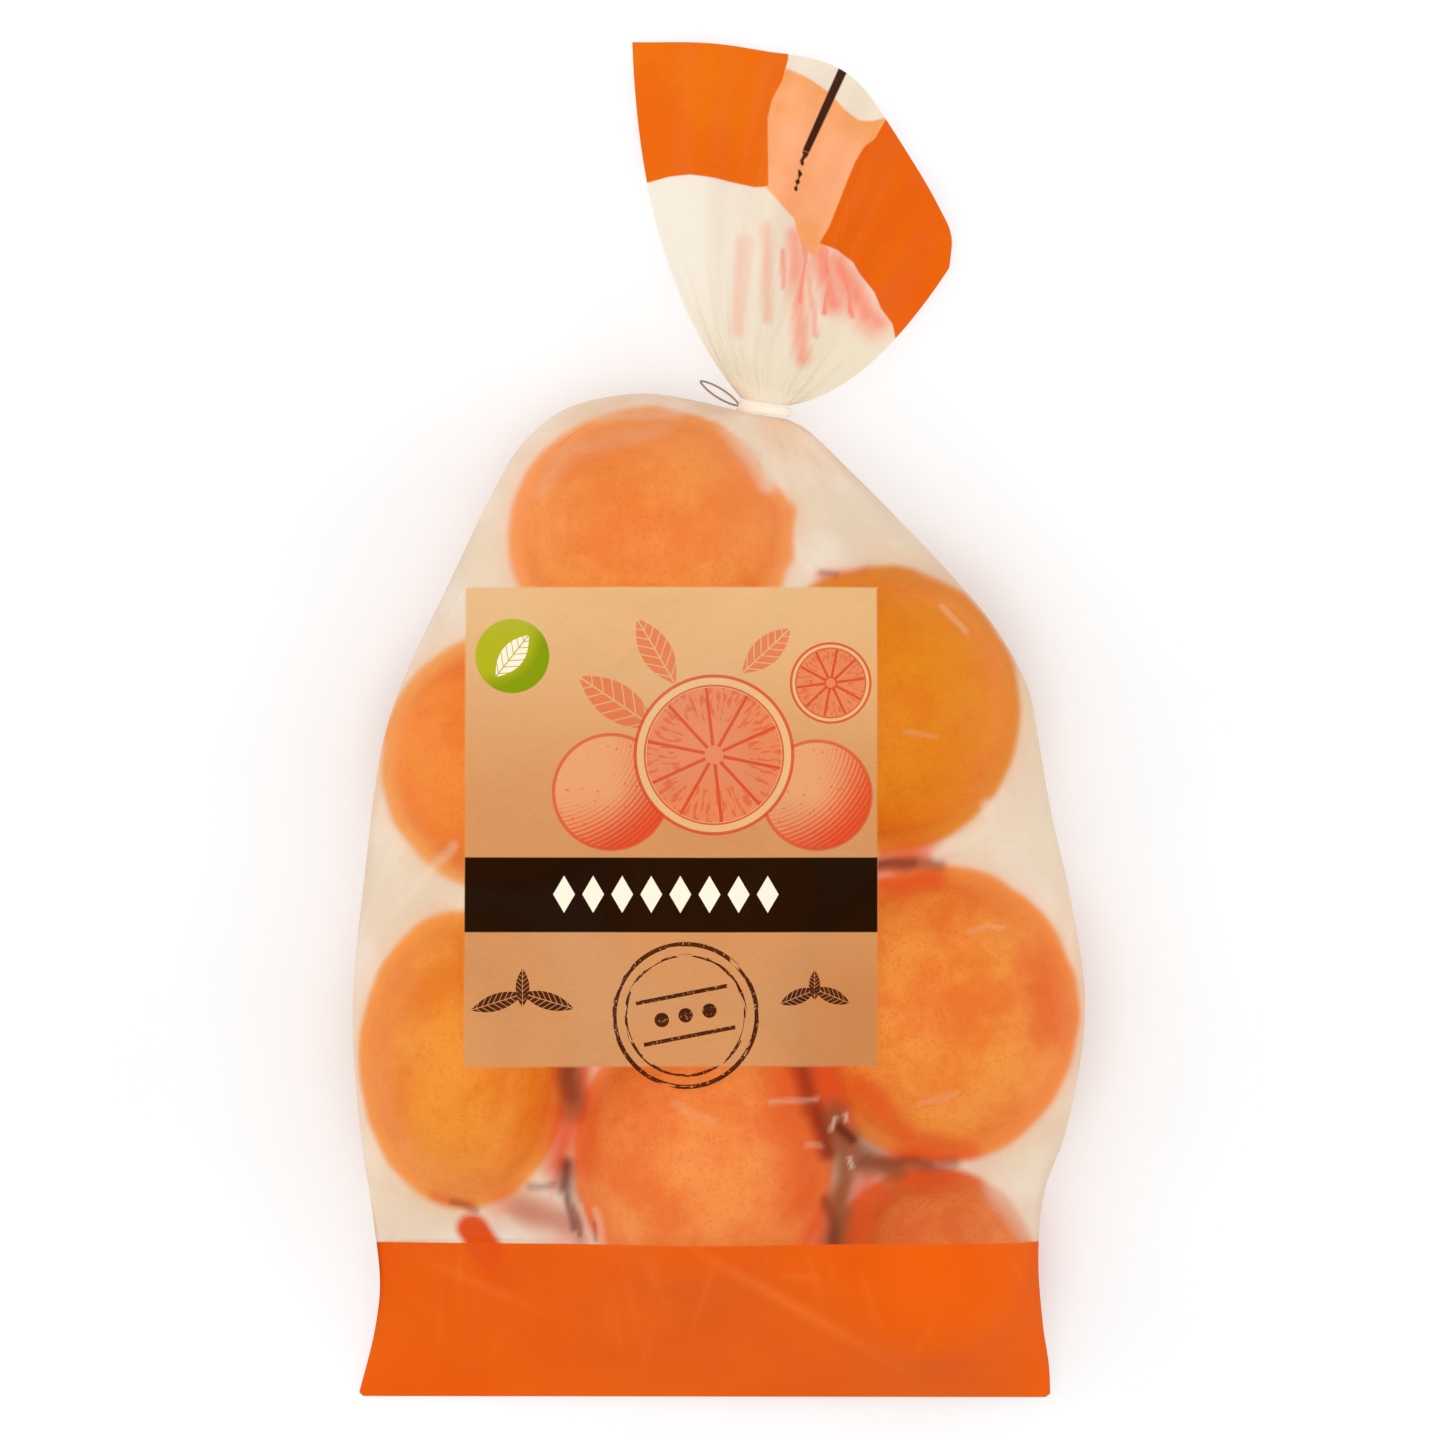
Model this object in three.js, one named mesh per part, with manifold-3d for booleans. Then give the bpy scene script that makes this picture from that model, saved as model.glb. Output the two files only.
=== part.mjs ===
// A clear film bag of mandarins, lying on its back with the printed face up.
// Millimetres, +Z up, +Y from the sealed bottom edge to the gathered neck.
//
// The bag is one filled body. Its plan is set by a left and a right outline. Its two
// faces are films stretched over and under the eight fruit inside, which are not
// solids of their own: their sizes and places only shape those faces. Above the neck
// the same body runs out into the pleated skirt of the open bag end.

import * as THREE from 'three';
import { mergeVertices } from 'three/addons/utils/BufferGeometryUtils.js';
import Module from 'manifold-3d';

// ---- Driving dimensions, mm ----

// Outlines of the filled bag in plan, [x, y] from the bottom seam up to the neck.
const LEFT_SIDE = [
  [-90.8, -170.0], [-86.4, -153.0], [-84.8, -140.5], [-86.5, -123.0], [-89.5, -103.0],
  [-91.5, -74.0], [-89.0, -43.0], [-84.5, -8.0], [-80.0, 7.0], [-66.0, 37.0],
  [-56.2, 57.0], [-50.0, 67.6], [-38.8, 77.0], [-20.0, 81.0], [-5.0, 79.0],
];
const RIGHT_SIDE = [
  [82.8, -170.0], [82.4, -162.0], [80.8, -151.6], [79.5, -134.0], [81.0, -118.0],
  [86.2, -103.0], [91.0, -73.0], [88.0, -48.0], [82.5, -23.0], [79.0, -3.0],
  [77.0, 7.0], [69.0, 22.0], [56.5, 37.0], [32.2, 62.0], [21.4, 72.2],
];
const CORNER_RADIUS = 1.2;

// Fruit: middle x, y, half-widths along x, y and z, then the lift off the ground.
const FRUIT = [
  [-17.2, 45.1, 35.2, 32.0, 33.0, 0.6],
  [-52.0, -10.9, 32.2, 32.2, 27.0, 0.6],
  [40.5, 2.1, 34.0, 35.5, 29.0, 0.6],
  [-63.2, -84.6, 26.2, 37.0, 35.5, 0.6],
  [54.5, -73.4, 34.5, 36.8, 31.0, 0.6],
  [-4.0, -108.4, 32.2, 36.5, 34.5, 0.6],
  [52.2, -136.9, 26.0, 25.5, 23.5, 0.6],
  [-2.5, -43.0, 26.5, 26.5, 25.0, 14.0],
];
const FILM_CLEARANCE = 0.6;

// Neck: the bag is gathered to a round bundle here and tied.
const NECK_MIDDLE = new THREE.Vector3(11.0, 77.2, 28.0);
const NECK_RADIUS = 5.9;
const NECK_SWING = THREE.MathUtils.degToRad(-8);
const NECK_HALF_LENGTH = 1.7;

// Skirt: the open end above the neck, a fan with a bent rim.
const SKIRT_RIM = [
  [-22.0, 169.6], [-5.0, 169.3], [11.0, 167.3], [31.5, 162.0], [43.5, 147.0],
  [54.5, 128.8], [58.0, 121.0], [57.5, 113.0],
];
const SKIRT_LEFT_BEND = [-20.0, 110.0];
const SKIRT_RIGHT_BEND = [36.5, 81.0];
const RIM_HEIGHT = 6;
const RIM_THICKNESS = 5;
const RIM_ARCH = 4;

// Pleats: folds that run out from the neck, deep in the skirt and low on the bag.
// Each range is a share of the way from the neck to the rim, or up the bag.
const PLEATS_ACROSS = 4.5;
const SKIRT_PLEAT_DEPTH = 3.6;
const SKIRT_PLEAT_RANGE = [0.05, 0.8];
const SKIRT_DROP_RANGE = [0, 0.9];
const SKIRT_THINNING_RANGE = [0, 0.5];
const BAG_PLEAT_DEPTH = 1.1;
const BAG_PLEAT_RANGE = [0.8, 1];

// Seam: where the two faces are welded at the bottom.
const SEAM_HEIGHT_LEFT = 2.5;
const SEAM_HEIGHT_RIGHT = 9;
const SEAM_THICKNESS = 1.2;
const SEAM_RISE_LENGTH = 42;
const NECK_RISE_RANGE = [0.8, 1];
const NEARBY_POWER = 6;
const EDGE_RAMP = 4;

// Film: how it stretches over the fruit. Sag and air are heights per grid step.
const UPPER_SAG = 0.12;
const LOWER_AIR = 0.012;
const FACE_SPACING = 1.2;
const PRESSED_FLAT = 1.6;
const STRETCH_PASSES = 400;
const OVER_RELAXATION = 1.6;

// Grid of each face.
const COLUMNS = 32;
const BODY_ROWS = 42;
const SKIRT_ROWS = 14;

// Tie: a narrow clear strip wound round the neck, with one free tail.
const TIE_GAP = 0.35;
const TIE_THICKNESS = 0.5;
const TIE_WIDTH = 2.2;
const TIE_SIDES = 40;
const TAIL_LENGTH = 11.6;
const TAIL_WIDTH = 2.6;
const TAIL_THICKNESS = 0.5;
const TAIL_SEGMENTS = 12;
const TAIL_SWING = THREE.MathUtils.degToRad(148);
const TAIL_RISE = 1.2;

// ---- Helpers ----

const { lerp, smoothstep } = THREE.MathUtils;

function smoothCurve(points) {
  const corners = points.map(([x, y]) => new THREE.Vector3(x, y, 0));
  return new THREE.CatmullRomCurve3(corners, false, 'centripetal');
}

// The neck's direction in plan, and the direction across it.
const alongNeck = new THREE.Vector3(-Math.sin(NECK_SWING), Math.cos(NECK_SWING), 0);
const acrossNeck = new THREE.Vector3(Math.cos(NECK_SWING), Math.sin(NECK_SWING), 0);

// A point on the round neck: side -1 is its left edge and +1 its right.
function neckEdge(side, along) {
  return NECK_MIDDLE.clone()
    .addScaledVector(acrossNeck, side * NECK_RADIUS)
    .addScaledVector(alongNeck, along);
}

// Share of the way across a row, closer together near both sides, so that a
// half-ellipse over the row is drawn with even steps.
function acrossShare(column) {
  return 0.5 - 0.5 * Math.cos((Math.PI * column) / COLUMNS);
}

// 0 at both sides of a row and 1 in its middle, as the height of a half-circle.
function roundness(column) {
  return Math.sin((Math.PI * column) / COLUMNS);
}

// A thickness grows from nothing at an edge to its full size a little inside it.
function ramp(inside) {
  return Math.min(1, EDGE_RAMP * inside);
}

// Folds across a row, with a valley in the middle and none at the two sides.
function pleat(column) {
  return -Math.sin((2 * Math.PI * PLEATS_ACROSS * column) / COLUMNS) * roundness(column);
}

// Height of a fruit's upper (face = 1) or lower (face = -1) half over x, y.
function fruitHeight([middleX, middleY, halfX, halfY, halfZ, lift], x, y, face) {
  const reach = ((x - middleX) / halfX) ** 2 + ((y - middleY) / halfY) ** 2;
  if (reach >= 1) return null;
  const height = halfZ * Math.sqrt(1 - reach);
  return lift + halfZ + face * (height + FILM_CLEARANCE);
}

// Height at which the film turns from the upper to the lower face: the middle of
// the fruit nearby, coming down to the seam at the bottom edge.
function sideHeight(x, y, seamHeight, neckShare) {
  let weightSum = 0;
  let heightSum = 0;
  for (const [middleX, middleY, , , halfZ] of FRUIT) {
    const weight = 1 / Math.hypot(x - middleX, y - middleY) ** NEARBY_POWER;
    weightSum += weight;
    heightSum += weight * halfZ;
  }
  const rise = smoothstep(y, LEFT_SIDE[0][1], LEFT_SIDE[0][1] + SEAM_RISE_LENGTH);
  const filled = lerp(seamHeight, heightSum / weightSum, rise);
  return lerp(filled, NECK_MIDDLE.z, smoothstep(neckShare, ...NECK_RISE_RANGE));
}

// ---- Bag ----

// Plan and side height of every row of the filled bag, from the seam to the neck.
function bodyPlan() {
  const neckLeft = neckEdge(-1, -NECK_HALF_LENGTH);
  const neckRight = neckEdge(1, -NECK_HALF_LENGTH);
  const left = smoothCurve([...LEFT_SIDE, [neckLeft.x, neckLeft.y]]);
  const right = smoothCurve([...RIGHT_SIDE, [neckRight.x, neckRight.y]]);
  const rows = [];
  for (let row = 0; row <= BODY_ROWS; row += 1) {
    const share = row / BODY_ROWS;
    const a = left.getPointAt(share);
    const b = right.getPointAt(share);
    const fromSeam = Math.min(1, (a.y - LEFT_SIDE[0][1]) / CORNER_RADIUS);
    const inset = CORNER_RADIUS * (1 - Math.sqrt(1 - (1 - fromSeam) ** 2));
    a.x += inset;
    b.x -= inset;
    const heightA = sideHeight(a.x, a.y, SEAM_HEIGHT_LEFT, share);
    const heightB = sideHeight(b.x, b.y, SEAM_HEIGHT_RIGHT, share);
    const cells = [];
    for (let column = 0; column <= COLUMNS; column += 1) {
      const across = acrossShare(column);
      const side = lerp(heightA, heightB, across);
      cells.push({ x: lerp(a.x, b.x, across), y: lerp(a.y, b.y, across), side });
    }
    rows.push(cells);
  }
  return rows;
}

// One face of the filled bag: a film stretched from side to side and pushed out by
// the fruit. The upper face sags into the hollows between them. A little trapped air
// fills out the lower face, which lies flat on the ground.
function stretchFace(plan, face) {
  const heights = plan.map((cells) => cells.map((cell) => cell.side));
  for (let column = 0; column <= COLUMNS; column += 1) {
    heights[0][column] += face * 0.5 * SEAM_THICKNESS * ramp(roundness(column));
    heights[BODY_ROWS][column] += face * NECK_RADIUS * roundness(column);
  }
  const pushes = plan.map((cells) => cells.map(({ x, y }) => {
    const touching = FRUIT.map((fruit) => fruitHeight(fruit, x, y, face));
    const reached = touching.filter((height) => height !== null);
    return reached.length ? Math.max(...reached.map((height) => face * height)) : -Infinity;
  }));
  const sinking = face > 0 ? UPPER_SAG : LOWER_AIR;
  for (let pass = 0; pass < STRETCH_PASSES; pass += 1) {
    for (let row = 1; row < BODY_ROWS; row += 1) {
      for (let column = 1; column < COLUMNS; column += 1) {
        const around = heights[row - 1][column] + heights[row + 1][column]
          + heights[row][column - 1] + heights[row][column + 1];
        const rest = around / 4 - sinking;
        const old = heights[row][column];
        const moved = old + OVER_RELAXATION * (rest - old);
        heights[row][column] = face * Math.max(face * moved, pushes[row][column]);
      }
    }
  }
  const [pleatsFrom, pleatsTo] = BAG_PLEAT_RANGE;
  return heights.map((cells, row) => cells.map((height, column) => {
    const inside = ramp(roundness(column) * Math.sin((Math.PI * row) / BODY_ROWS));
    const spaced = height + face * 0.5 * FACE_SPACING * inside;
    const towardsNeck = Math.max(0, (row / BODY_ROWS - pleatsFrom) / (pleatsTo - pleatsFrom));
    const fold = BAG_PLEAT_DEPTH * pleat(column) * Math.sin(Math.PI * towardsNeck);
    const lowered = face > 0 ? 0 : PRESSED_FLAT * inside;
    return Math.max(0, spaced + fold - lowered);
  }));
}

const skirtRim = smoothCurve(SKIRT_RIM);

// A point of the skirt: a ray bent outwards from the neck to the rim.
function skirtPoint(share, column, face) {
  const start = neckEdge(2 * acrossShare(column) - 1, NECK_HALF_LENGTH);
  const rim = skirtRim.getPointAt(column / COLUMNS);
  const bendX = lerp(SKIRT_LEFT_BEND[0], SKIRT_RIGHT_BEND[0], column / COLUMNS);
  const bendY = lerp(SKIRT_LEFT_BEND[1], SKIRT_RIGHT_BEND[1], column / COLUMNS);
  const keepStart = (1 - share) ** 2;
  const keepBend = 2 * share * (1 - share);
  const keepRim = share ** 2;
  const x = keepStart * start.x + keepBend * bendX + keepRim * rim.x;
  const y = keepStart * start.y + keepBend * bendY + keepRim * rim.y;
  const rimHeight = RIM_HEIGHT + RIM_ARCH * roundness(column);
  const middle = lerp(NECK_MIDDLE.z, rimHeight, smoothstep(share, ...SKIRT_DROP_RANGE));
  const thinned = smoothstep(share, ...SKIRT_THINNING_RANGE);
  const half = lerp(NECK_RADIUS, 0.5 * RIM_THICKNESS, thinned) * roundness(column);
  const fold = SKIRT_PLEAT_DEPTH * pleat(column) * smoothstep(share, ...SKIRT_PLEAT_RANGE);
  return [x, y, middle + fold + face * half];
}

// One face as rows of points, from the bottom seam over the neck to the rim.
function facePoints(plan, face) {
  const heights = stretchFace(plan, face);
  const rows = plan.map((cells, row) => cells.map(({ x, y }, column) => [x, y, heights[row][column]]));
  for (let row = 0; row <= SKIRT_ROWS; row += 1) {
    const points = [];
    for (let column = 0; column <= COLUMNS; column += 1) {
      points.push(skirtPoint(row / SKIRT_ROWS, column, face));
    }
    rows.push(points);
  }
  return rows;
}

// Triangles of one patch of rows, facing out for the upper face.
function addPatch(positions, rows, flipped) {
  for (let row = 0; row + 1 < rows.length; row += 1) {
    for (let column = 0; column + 1 < rows[row].length; column += 1) {
      const a = rows[row][column];
      const b = rows[row][column + 1];
      const c = rows[row + 1][column + 1];
      const d = rows[row + 1][column];
      const triangles = flipped ? [a, c, b, a, d, c] : [a, b, c, a, c, d];
      positions.push(...triangles.flat());
    }
  }
}

function bagGeometry() {
  const plan = bodyPlan();
  const upper = facePoints(plan, 1);
  const lower = facePoints(plan, -1);
  const positions = [];
  addPatch(positions, upper, false);
  addPatch(positions, lower, true);
  addPatch(positions, [lower[0], upper[0]], false);
  addPatch(positions, [upper[upper.length - 1], lower[lower.length - 1]], false);
  const soup = new THREE.BufferGeometry();
  soup.setAttribute('position', new THREE.Float32BufferAttribute(positions, 3));
  return withoutSlivers(mergeVertices(soup, 1e-3));
}

// Drops the triangles that lost a side when the vertices along the edges merged.
function withoutSlivers(geometry) {
  const corners = geometry.index.array;
  const kept = [];
  for (let i = 0; i < corners.length; i += 3) {
    const [a, b, c] = [corners[i], corners[i + 1], corners[i + 2]];
    if (a !== b && b !== c && c !== a) kept.push(a, b, c);
  }
  geometry.setIndex(kept);
  return geometry;
}

// ---- Tie ----

function toManifold(wasm, geometry) {
  const bare = geometry.clone();
  bare.deleteAttribute('normal');
  bare.deleteAttribute('uv');
  const merged = mergeVertices(bare, 1e-4);
  return new wasm.Manifold(new wasm.Mesh({
    numProp: 3,
    vertProperties: new Float32Array(merged.attributes.position.array),
    triVerts: new Uint32Array(merged.index.array),
  }));
}

function fromManifold(solid) {
  const mesh = solid.getMesh();
  const geometry = new THREE.BufferGeometry();
  geometry.setAttribute('position', new THREE.Float32BufferAttribute(mesh.vertProperties, 3));
  geometry.setIndex(Array.from(mesh.triVerts));
  return geometry;
}

// The strip's turn round the neck: a short ring about the neck's own direction.
function tieRing() {
  const inner = NECK_RADIUS + TIE_GAP;
  const outer = inner + TIE_THICKNESS;
  const half = 0.5 * TIE_WIDTH;
  const profile = [[inner, -half], [outer, -half], [outer, half], [inner, half], [inner, -half]];
  const ring = new THREE.LatheGeometry(profile.map(([r, h]) => new THREE.Vector2(r, h)), TIE_SIDES);
  ring.rotateZ(NECK_SWING);
  return ring;
}

// The free tail: a flat pointed oval that starts in the ring's wall.
function tieTail() {
  const outline = new THREE.Shape();
  outline.absellipse(0.5 * TAIL_LENGTH, 0, 0.5 * TAIL_LENGTH, 0.5 * TAIL_WIDTH, 0, 2 * Math.PI);
  const tail = new THREE.ExtrudeGeometry(outline, {
    depth: TAIL_THICKNESS, bevelEnabled: false, curveSegments: TAIL_SEGMENTS,
  });
  tail.rotateZ(TAIL_SWING);
  const wall = acrossNeck.clone().multiplyScalar(-(NECK_RADIUS + TIE_GAP + 0.5 * TIE_THICKNESS));
  tail.translate(wall.x, wall.y, TAIL_RISE);
  return tail;
}

async function tieGeometry() {
  const wasm = await Module();
  wasm.setup();
  const joined = toManifold(wasm, tieRing()).add(toManifold(wasm, tieTail()));
  return fromManifold(joined);
}

// ---- Assembly ----

const filmMaterial = new THREE.MeshStandardMaterial({
  color: 0xefa05a, roughness: 0.3, metalness: 0,
});
const tieMaterial = new THREE.MeshStandardMaterial({
  color: 0xf0e4cc, roughness: 0.35, metalness: 0,
});

const bag = new THREE.Mesh(bagGeometry(), filmMaterial);
bag.name = 'bag';

const neckTie = new THREE.Mesh(await tieGeometry(), tieMaterial);
neckTie.name = 'neck_tie';
neckTie.position.copy(NECK_MIDDLE);

// The origin is under the middle of the box round the whole bag.
const model = new THREE.Group();
model.add(bag, neckTie);
const box = new THREE.Box3().setFromObject(model, true);
model.position.set(-0.5 * (box.min.x + box.max.x), -0.5 * (box.min.y + box.max.y), -box.min.z);

export default model;
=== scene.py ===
"""A clear film bag of mandarins, laid on its back with the printed face up.

The filled bag is two films stretched over and under eight fruit, welded along the
bottom and gathered in a tied neck, past which the open end fans out as a skirt.
Lengths are millimetres in the part's frame; meshes and lights are turned to metres.
"""
import math

import bpy
import numpy as np
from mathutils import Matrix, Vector


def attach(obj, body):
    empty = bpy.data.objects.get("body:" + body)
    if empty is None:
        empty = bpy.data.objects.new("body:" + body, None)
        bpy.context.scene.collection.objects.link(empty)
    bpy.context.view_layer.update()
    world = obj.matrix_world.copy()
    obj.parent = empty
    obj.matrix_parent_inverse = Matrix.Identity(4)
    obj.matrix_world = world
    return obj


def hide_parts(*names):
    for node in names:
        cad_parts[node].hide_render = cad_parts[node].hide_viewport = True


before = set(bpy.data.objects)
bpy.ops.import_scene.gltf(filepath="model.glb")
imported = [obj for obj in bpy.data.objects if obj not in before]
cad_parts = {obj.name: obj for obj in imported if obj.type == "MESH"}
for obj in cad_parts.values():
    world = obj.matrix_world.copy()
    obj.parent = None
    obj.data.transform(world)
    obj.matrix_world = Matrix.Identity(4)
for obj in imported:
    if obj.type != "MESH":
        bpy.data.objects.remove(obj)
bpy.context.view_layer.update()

# ---- Sizes, mm ----

MM = 0.001
SHIFT = np.array([0.27, 0.20])          # the outline's own zero lies here in the frame

LEFT_SIDE = [
    (-90.8, -170.0), (-86.4, -153.0), (-84.8, -140.5), (-86.5, -123.0), (-89.5, -103.0),
    (-91.5, -74.0), (-89.0, -43.0), (-84.5, -8.0), (-80.0, 7.0), (-66.0, 37.0),
    (-56.2, 57.0), (-50.0, 67.6), (-38.8, 77.0), (-20.0, 81.0), (-5.0, 79.0),
]
RIGHT_SIDE = [
    (82.8, -170.0), (82.4, -162.0), (80.8, -151.6), (79.5, -134.0), (81.0, -118.0),
    (86.2, -103.0), (91.0, -73.0), (88.0, -48.0), (82.5, -23.0), (79.0, -3.0),
    (77.0, 7.0), (69.0, 22.0), (56.5, 37.0), (32.2, 62.0), (21.4, 72.2),
]
CORNER_RADIUS = 1.2

# Each fruit: middle x, y, half-widths along x, y and z, the lift off the ground, and
# the way its stem points.
FRUIT = {
    "mandarin_top": ((-17.2, 45.1), (35.2, 32.0, 33.0), 0.6, (0.35, 0.80, -0.50)),
    "mandarin_upper_left": ((-52.0, -10.9), (32.2, 32.2, 27.0), 0.6, (-0.75, 0.30, -0.60)),
    "mandarin_upper_right": ((40.5, 2.1), (34.0, 35.5, 29.0), 0.6, (0.80, 0.35, -0.50)),
    "mandarin_lower_left": ((-63.2, -84.6), (26.2, 37.0, 35.5), 0.6, (-0.85, -0.10, -0.50)),
    "mandarin_lower_right": ((54.5, -73.4), (34.5, 36.8, 31.0), 0.6, (0.75, -0.25, -0.60)),
    "mandarin_bottom": ((-4.0, -108.4), (32.2, 36.5, 34.5), 0.6, (0.10, -0.60, -0.80)),
    "mandarin_bottom_right": ((52.2, -136.9), (26.0, 25.5, 23.5), 0.6, (0.50, -0.60, -0.60)),
    "mandarin_middle": ((-2.5, -43.0), (26.5, 26.5, 25.0), 14.0, (0.10, 0.20, -1.00)),
}
FILM_CLEARANCE = 0.6                    # off the fruit, when stretched
LEAST_CLEARANCE = 0.45                  # and with its folds and creases
HIGHEST_CREASE = 0.8

NECK = np.array([11.0, 77.2, 28.0])
NECK_RADIUS = 5.9
NECK_SWING = math.radians(-8)
NECK_HALF_LENGTH = 1.7
ALONG = np.array([-math.sin(NECK_SWING), math.cos(NECK_SWING), 0.0])
ACROSS = np.array([math.cos(NECK_SWING), math.sin(NECK_SWING), 0.0])
UP = np.array([0.0, 0.0, 1.0])

SKIRT_RIM = [
    (-22.0, 169.6), (-5.0, 169.3), (11.0, 167.3), (31.5, 162.0), (43.5, 147.0),
    (54.5, 128.8), (58.0, 121.0), (57.5, 113.0),
]
SKIRT_LEFT_BEND = (-20.0, 110.0)
SKIRT_RIGHT_BEND = (36.5, 81.0)
RIM_HEIGHT = 6.0
RIM_THICKNESS = 5.0
RIM_ARCH = 4.0
PLEATS_ACROSS = 4.5
SKIRT_PLEAT_DEPTH = 3.6
BAG_PLEAT_DEPTH = 1.1

SEAM_HEIGHTS = (2.5, 9.0)
SEAM_THICKNESS = 1.2
SEAM_RISE_LENGTH = 42.0
EDGE_RAMP = 4.0
UPPER_SAG = 0.12
LOWER_AIR = 0.012
FACE_SPACING = 1.2
PRESSED_FLAT = 1.6
GATHER_FROM, GATHER_SHARE = 0.8, 0.2    # shares of the rows: the bag draws in over the last
RIB_DEPTH, RIB_SPACING = 0.16, 0.95     # in the weld
RIBS_END = (4.2, 4.8)                   # mm from the edge, where they die out
SUNKEN_DEPTH = 2.2                      # of the skirt's middle panel
SUNKEN_TURNS = (0.345, 0.365), (0.60, 0.63)   # shares of the rim where it falls and rises

# Grids: the film is stretched on the coarse cells first, and each level is twice as fine.
# It is drawn on the last level's rows, and on columns of its own.
COARSE_COLUMNS = 32
COARSE_ROWS = 42
LEVELS = 4
FIRST_SOLVE, FINER_SOLVE = (1.6, 400), (1.85, 140)    # step factor, and passes
BODY_ROWS = COARSE_ROWS * 2 ** (LEVELS - 1)
FRONT_COLUMNS = 288
BACK_COLUMNS = 144
SKIRT_ROWS = 210

# Print on the front film.
LABEL = (-63.25, 39.0, -86.1, 32.6)     # left, right, bottom, top
BAR = (-63.25, 39.0, -52.9, -34.4)
STAMP_MIDDLE = (-8.5, -73.4)
STAMP_RADII = (17.6, 14.8)
STAMP_LINES = (0.55, 0.38)              # half widths of the two rings' lines
STAMP_TILT = math.radians(11)
STAMP_BARS = (5.2, 0.5, 11.5)           # off the middle, half width and half length
STAMP_DOTS = (3.0, 3.2, 8.0)            # half spacing, radius squared, reach of the row
DIAMONDS = (-42.2, 15.4, -50.0, -37.0)
DIAMOND_FIRST = (-38.6, -43.5)          # its middle
DIAMOND_HALF = (2.7, 4.6)               # width and height
DIAMOND_HALF_STEP = 3.6
MARK = (-51.5, 15.5, 9.2)               # middle x, y and radius
MARK_LEAF = (6.6, 2.9, 0.9)             # length, width and turn
DRAWN_BALLS = [(-27.0, -18.2, 14.2), (24.0, -19.0, 13.4)]
DRAWN_WHEELS = [(27.4, 8.8, 9.8, 0.5, 0.34), (-1.5, -9.0, 19.5, 0.2, 0.44)]  # turn, line too
# Leaves of the drawing and of the sprigs: middle x, y, length, width and turn.
DRAWN_LEAVES = [
    (-25.5, 4.0, 11.5, 4.6, 2.55), (-15.8, 16.6, 9.4, 3.8, 2.1), (11.5, 16.8, 8.2, 3.4, 0.75),
]
SPRIG_LEAVES = [
    (-55.0, -70.0, 6.8, 2.1, 0.30), (-42.6, -69.8, 6.8, 2.1, 2.85), (-48.8, -66.6, 4.8, 1.7, 1.57),
    (19.4, -68.8, 5.0, 1.8, 0.38), (27.6, -68.6, 5.0, 1.8, 2.76), (23.4, -66.0, 3.8, 1.4, 1.57),
]
BAND_TOP = -130.4
LABEL_REACH = (-65.5, 41.5, -93.5, 34.5)  # the film that carries label print, stamp too
LABEL_SPLIT = -33.5                      # the drawing is above it, bar and stamp below
BAND_REACH = BAND_TOP + 1.2

# Strokes of colour in the film, each from x, y to x, y with a half-width and a
# strength. They are painted shade: reddish in the crevices between fruit, grey-brown
# over the wider hollows and dark in the deepest crevices and crumples. Milk is where
# the film is folded double, with painted highlights on its folds and crumples.
CREVICE_SHADE_STROKES = [
    (-37.5, -84.0, -37.2, -97.0, 6.5, 0.95), (-38.4, -97.0, -39.8, -110.0, 7.0, 0.9),
    (-52.0, -120.5, -36.0, -126.5, 9.0, 0.55), (-71.0, -118.4, -62.0, -120.6, 2.4, 0.5),
    (20.0, -86.0, 25.5, -106.0, 7.0, 0.85), (36.5, -113.5, 31.5, -129.5, 8.0, 0.8),
    (-33.2, -84.0, -34.6, -99.0, 5.0, 0.9), (33.0, -112.0, 39.0, -118.0, 7.0, 0.7),
    (24.0, 35.6, 36.0, 36.6, 2.2, 0.35), (53.0, -39.6, 38.0, -41.5, 5.5, 0.85),
    (-34.0, -85.0, -35.5, -99.0, 5.5, 0.9), (40.0, -33.6, 48.0, -34.0, 3.0, 0.8),
    (79.0, -60.0, 83.0, -78.0, 9.0, 0.4), (17.0, -90.0, 21.0, -118.0, 11.0, 0.6),
    (-33.0, -90.0, -33.5, -110.0, 5.5, 0.5), (35.0, -91.0, 47.0, -104.0, 5.0, 0.6),
    (47.0, -104.0, 62.0, -107.0, 4.0, 0.55),
]
HOLLOW_SHADE_STROKES = [
    (-37.0, -84.0, -36.4, -97.0, 5.0, 0.7), (-49.0, -121.8, -37.0, -125.0, 6.0, 0.35),
    (28.4, -98.0, 31.5, -109.0, 6.0, 0.9), (33.0, -110.2, 44.0, -111.4, 5.0, 0.9),
    (31.5, -105.0, 36.0, -109.0, 8.0, 0.9),
    (44.0, -111.0, 58.0, -110.6, 3.2, 0.6), (31.0, -109.0, 28.6, -131.0, 5.6, 0.9),
    (38.0, -36.2, 54.0, -36.0, 3.0, 0.7), (-36.5, -118.0, -34.0, -131.0, 3.6, 0.4),
]
DEEP_SHADE_STROKES = [
    (-37.8, -110.4, -38.4, -116.0, 3.6, 0.85), (-38.2, -114.0, -36.3, -126.5, 1.7, 0.7),
    (29.4, -101.0, 32.6, -104.4, 2.2, 0.95), (-37.6, -86.0, -36.8, -93.0, 5.0, 0.5),
    (-36.4, -120.5, -34.6, -128.5, 1.1, 0.6), (-31.4, -125.0, -30.4, -129.5, 1.0, 0.5),
    (-47.0, -116.2, -38.0, -115.0, 1.8, 0.45), (-66.0, -119.9, -60.4, -121.8, 1.7, 0.5),
    (20.2, -86.0, 23.0, -97.0, 4.8, 0.6), (23.5, -97.0, 27.0, -107.5, 4.0, 0.7),
    (35.0, -109.4, 52.0, -110.0, 2.2, 0.4), (39.0, -36.2, 48.0, -35.8, 2.2, 0.5),
    (25.0, 36.2, 29.0, 35.8, 1.4, 0.4), (26.5, -119.0, 28.5, -130.0, 2.6, 0.5),
]
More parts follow.
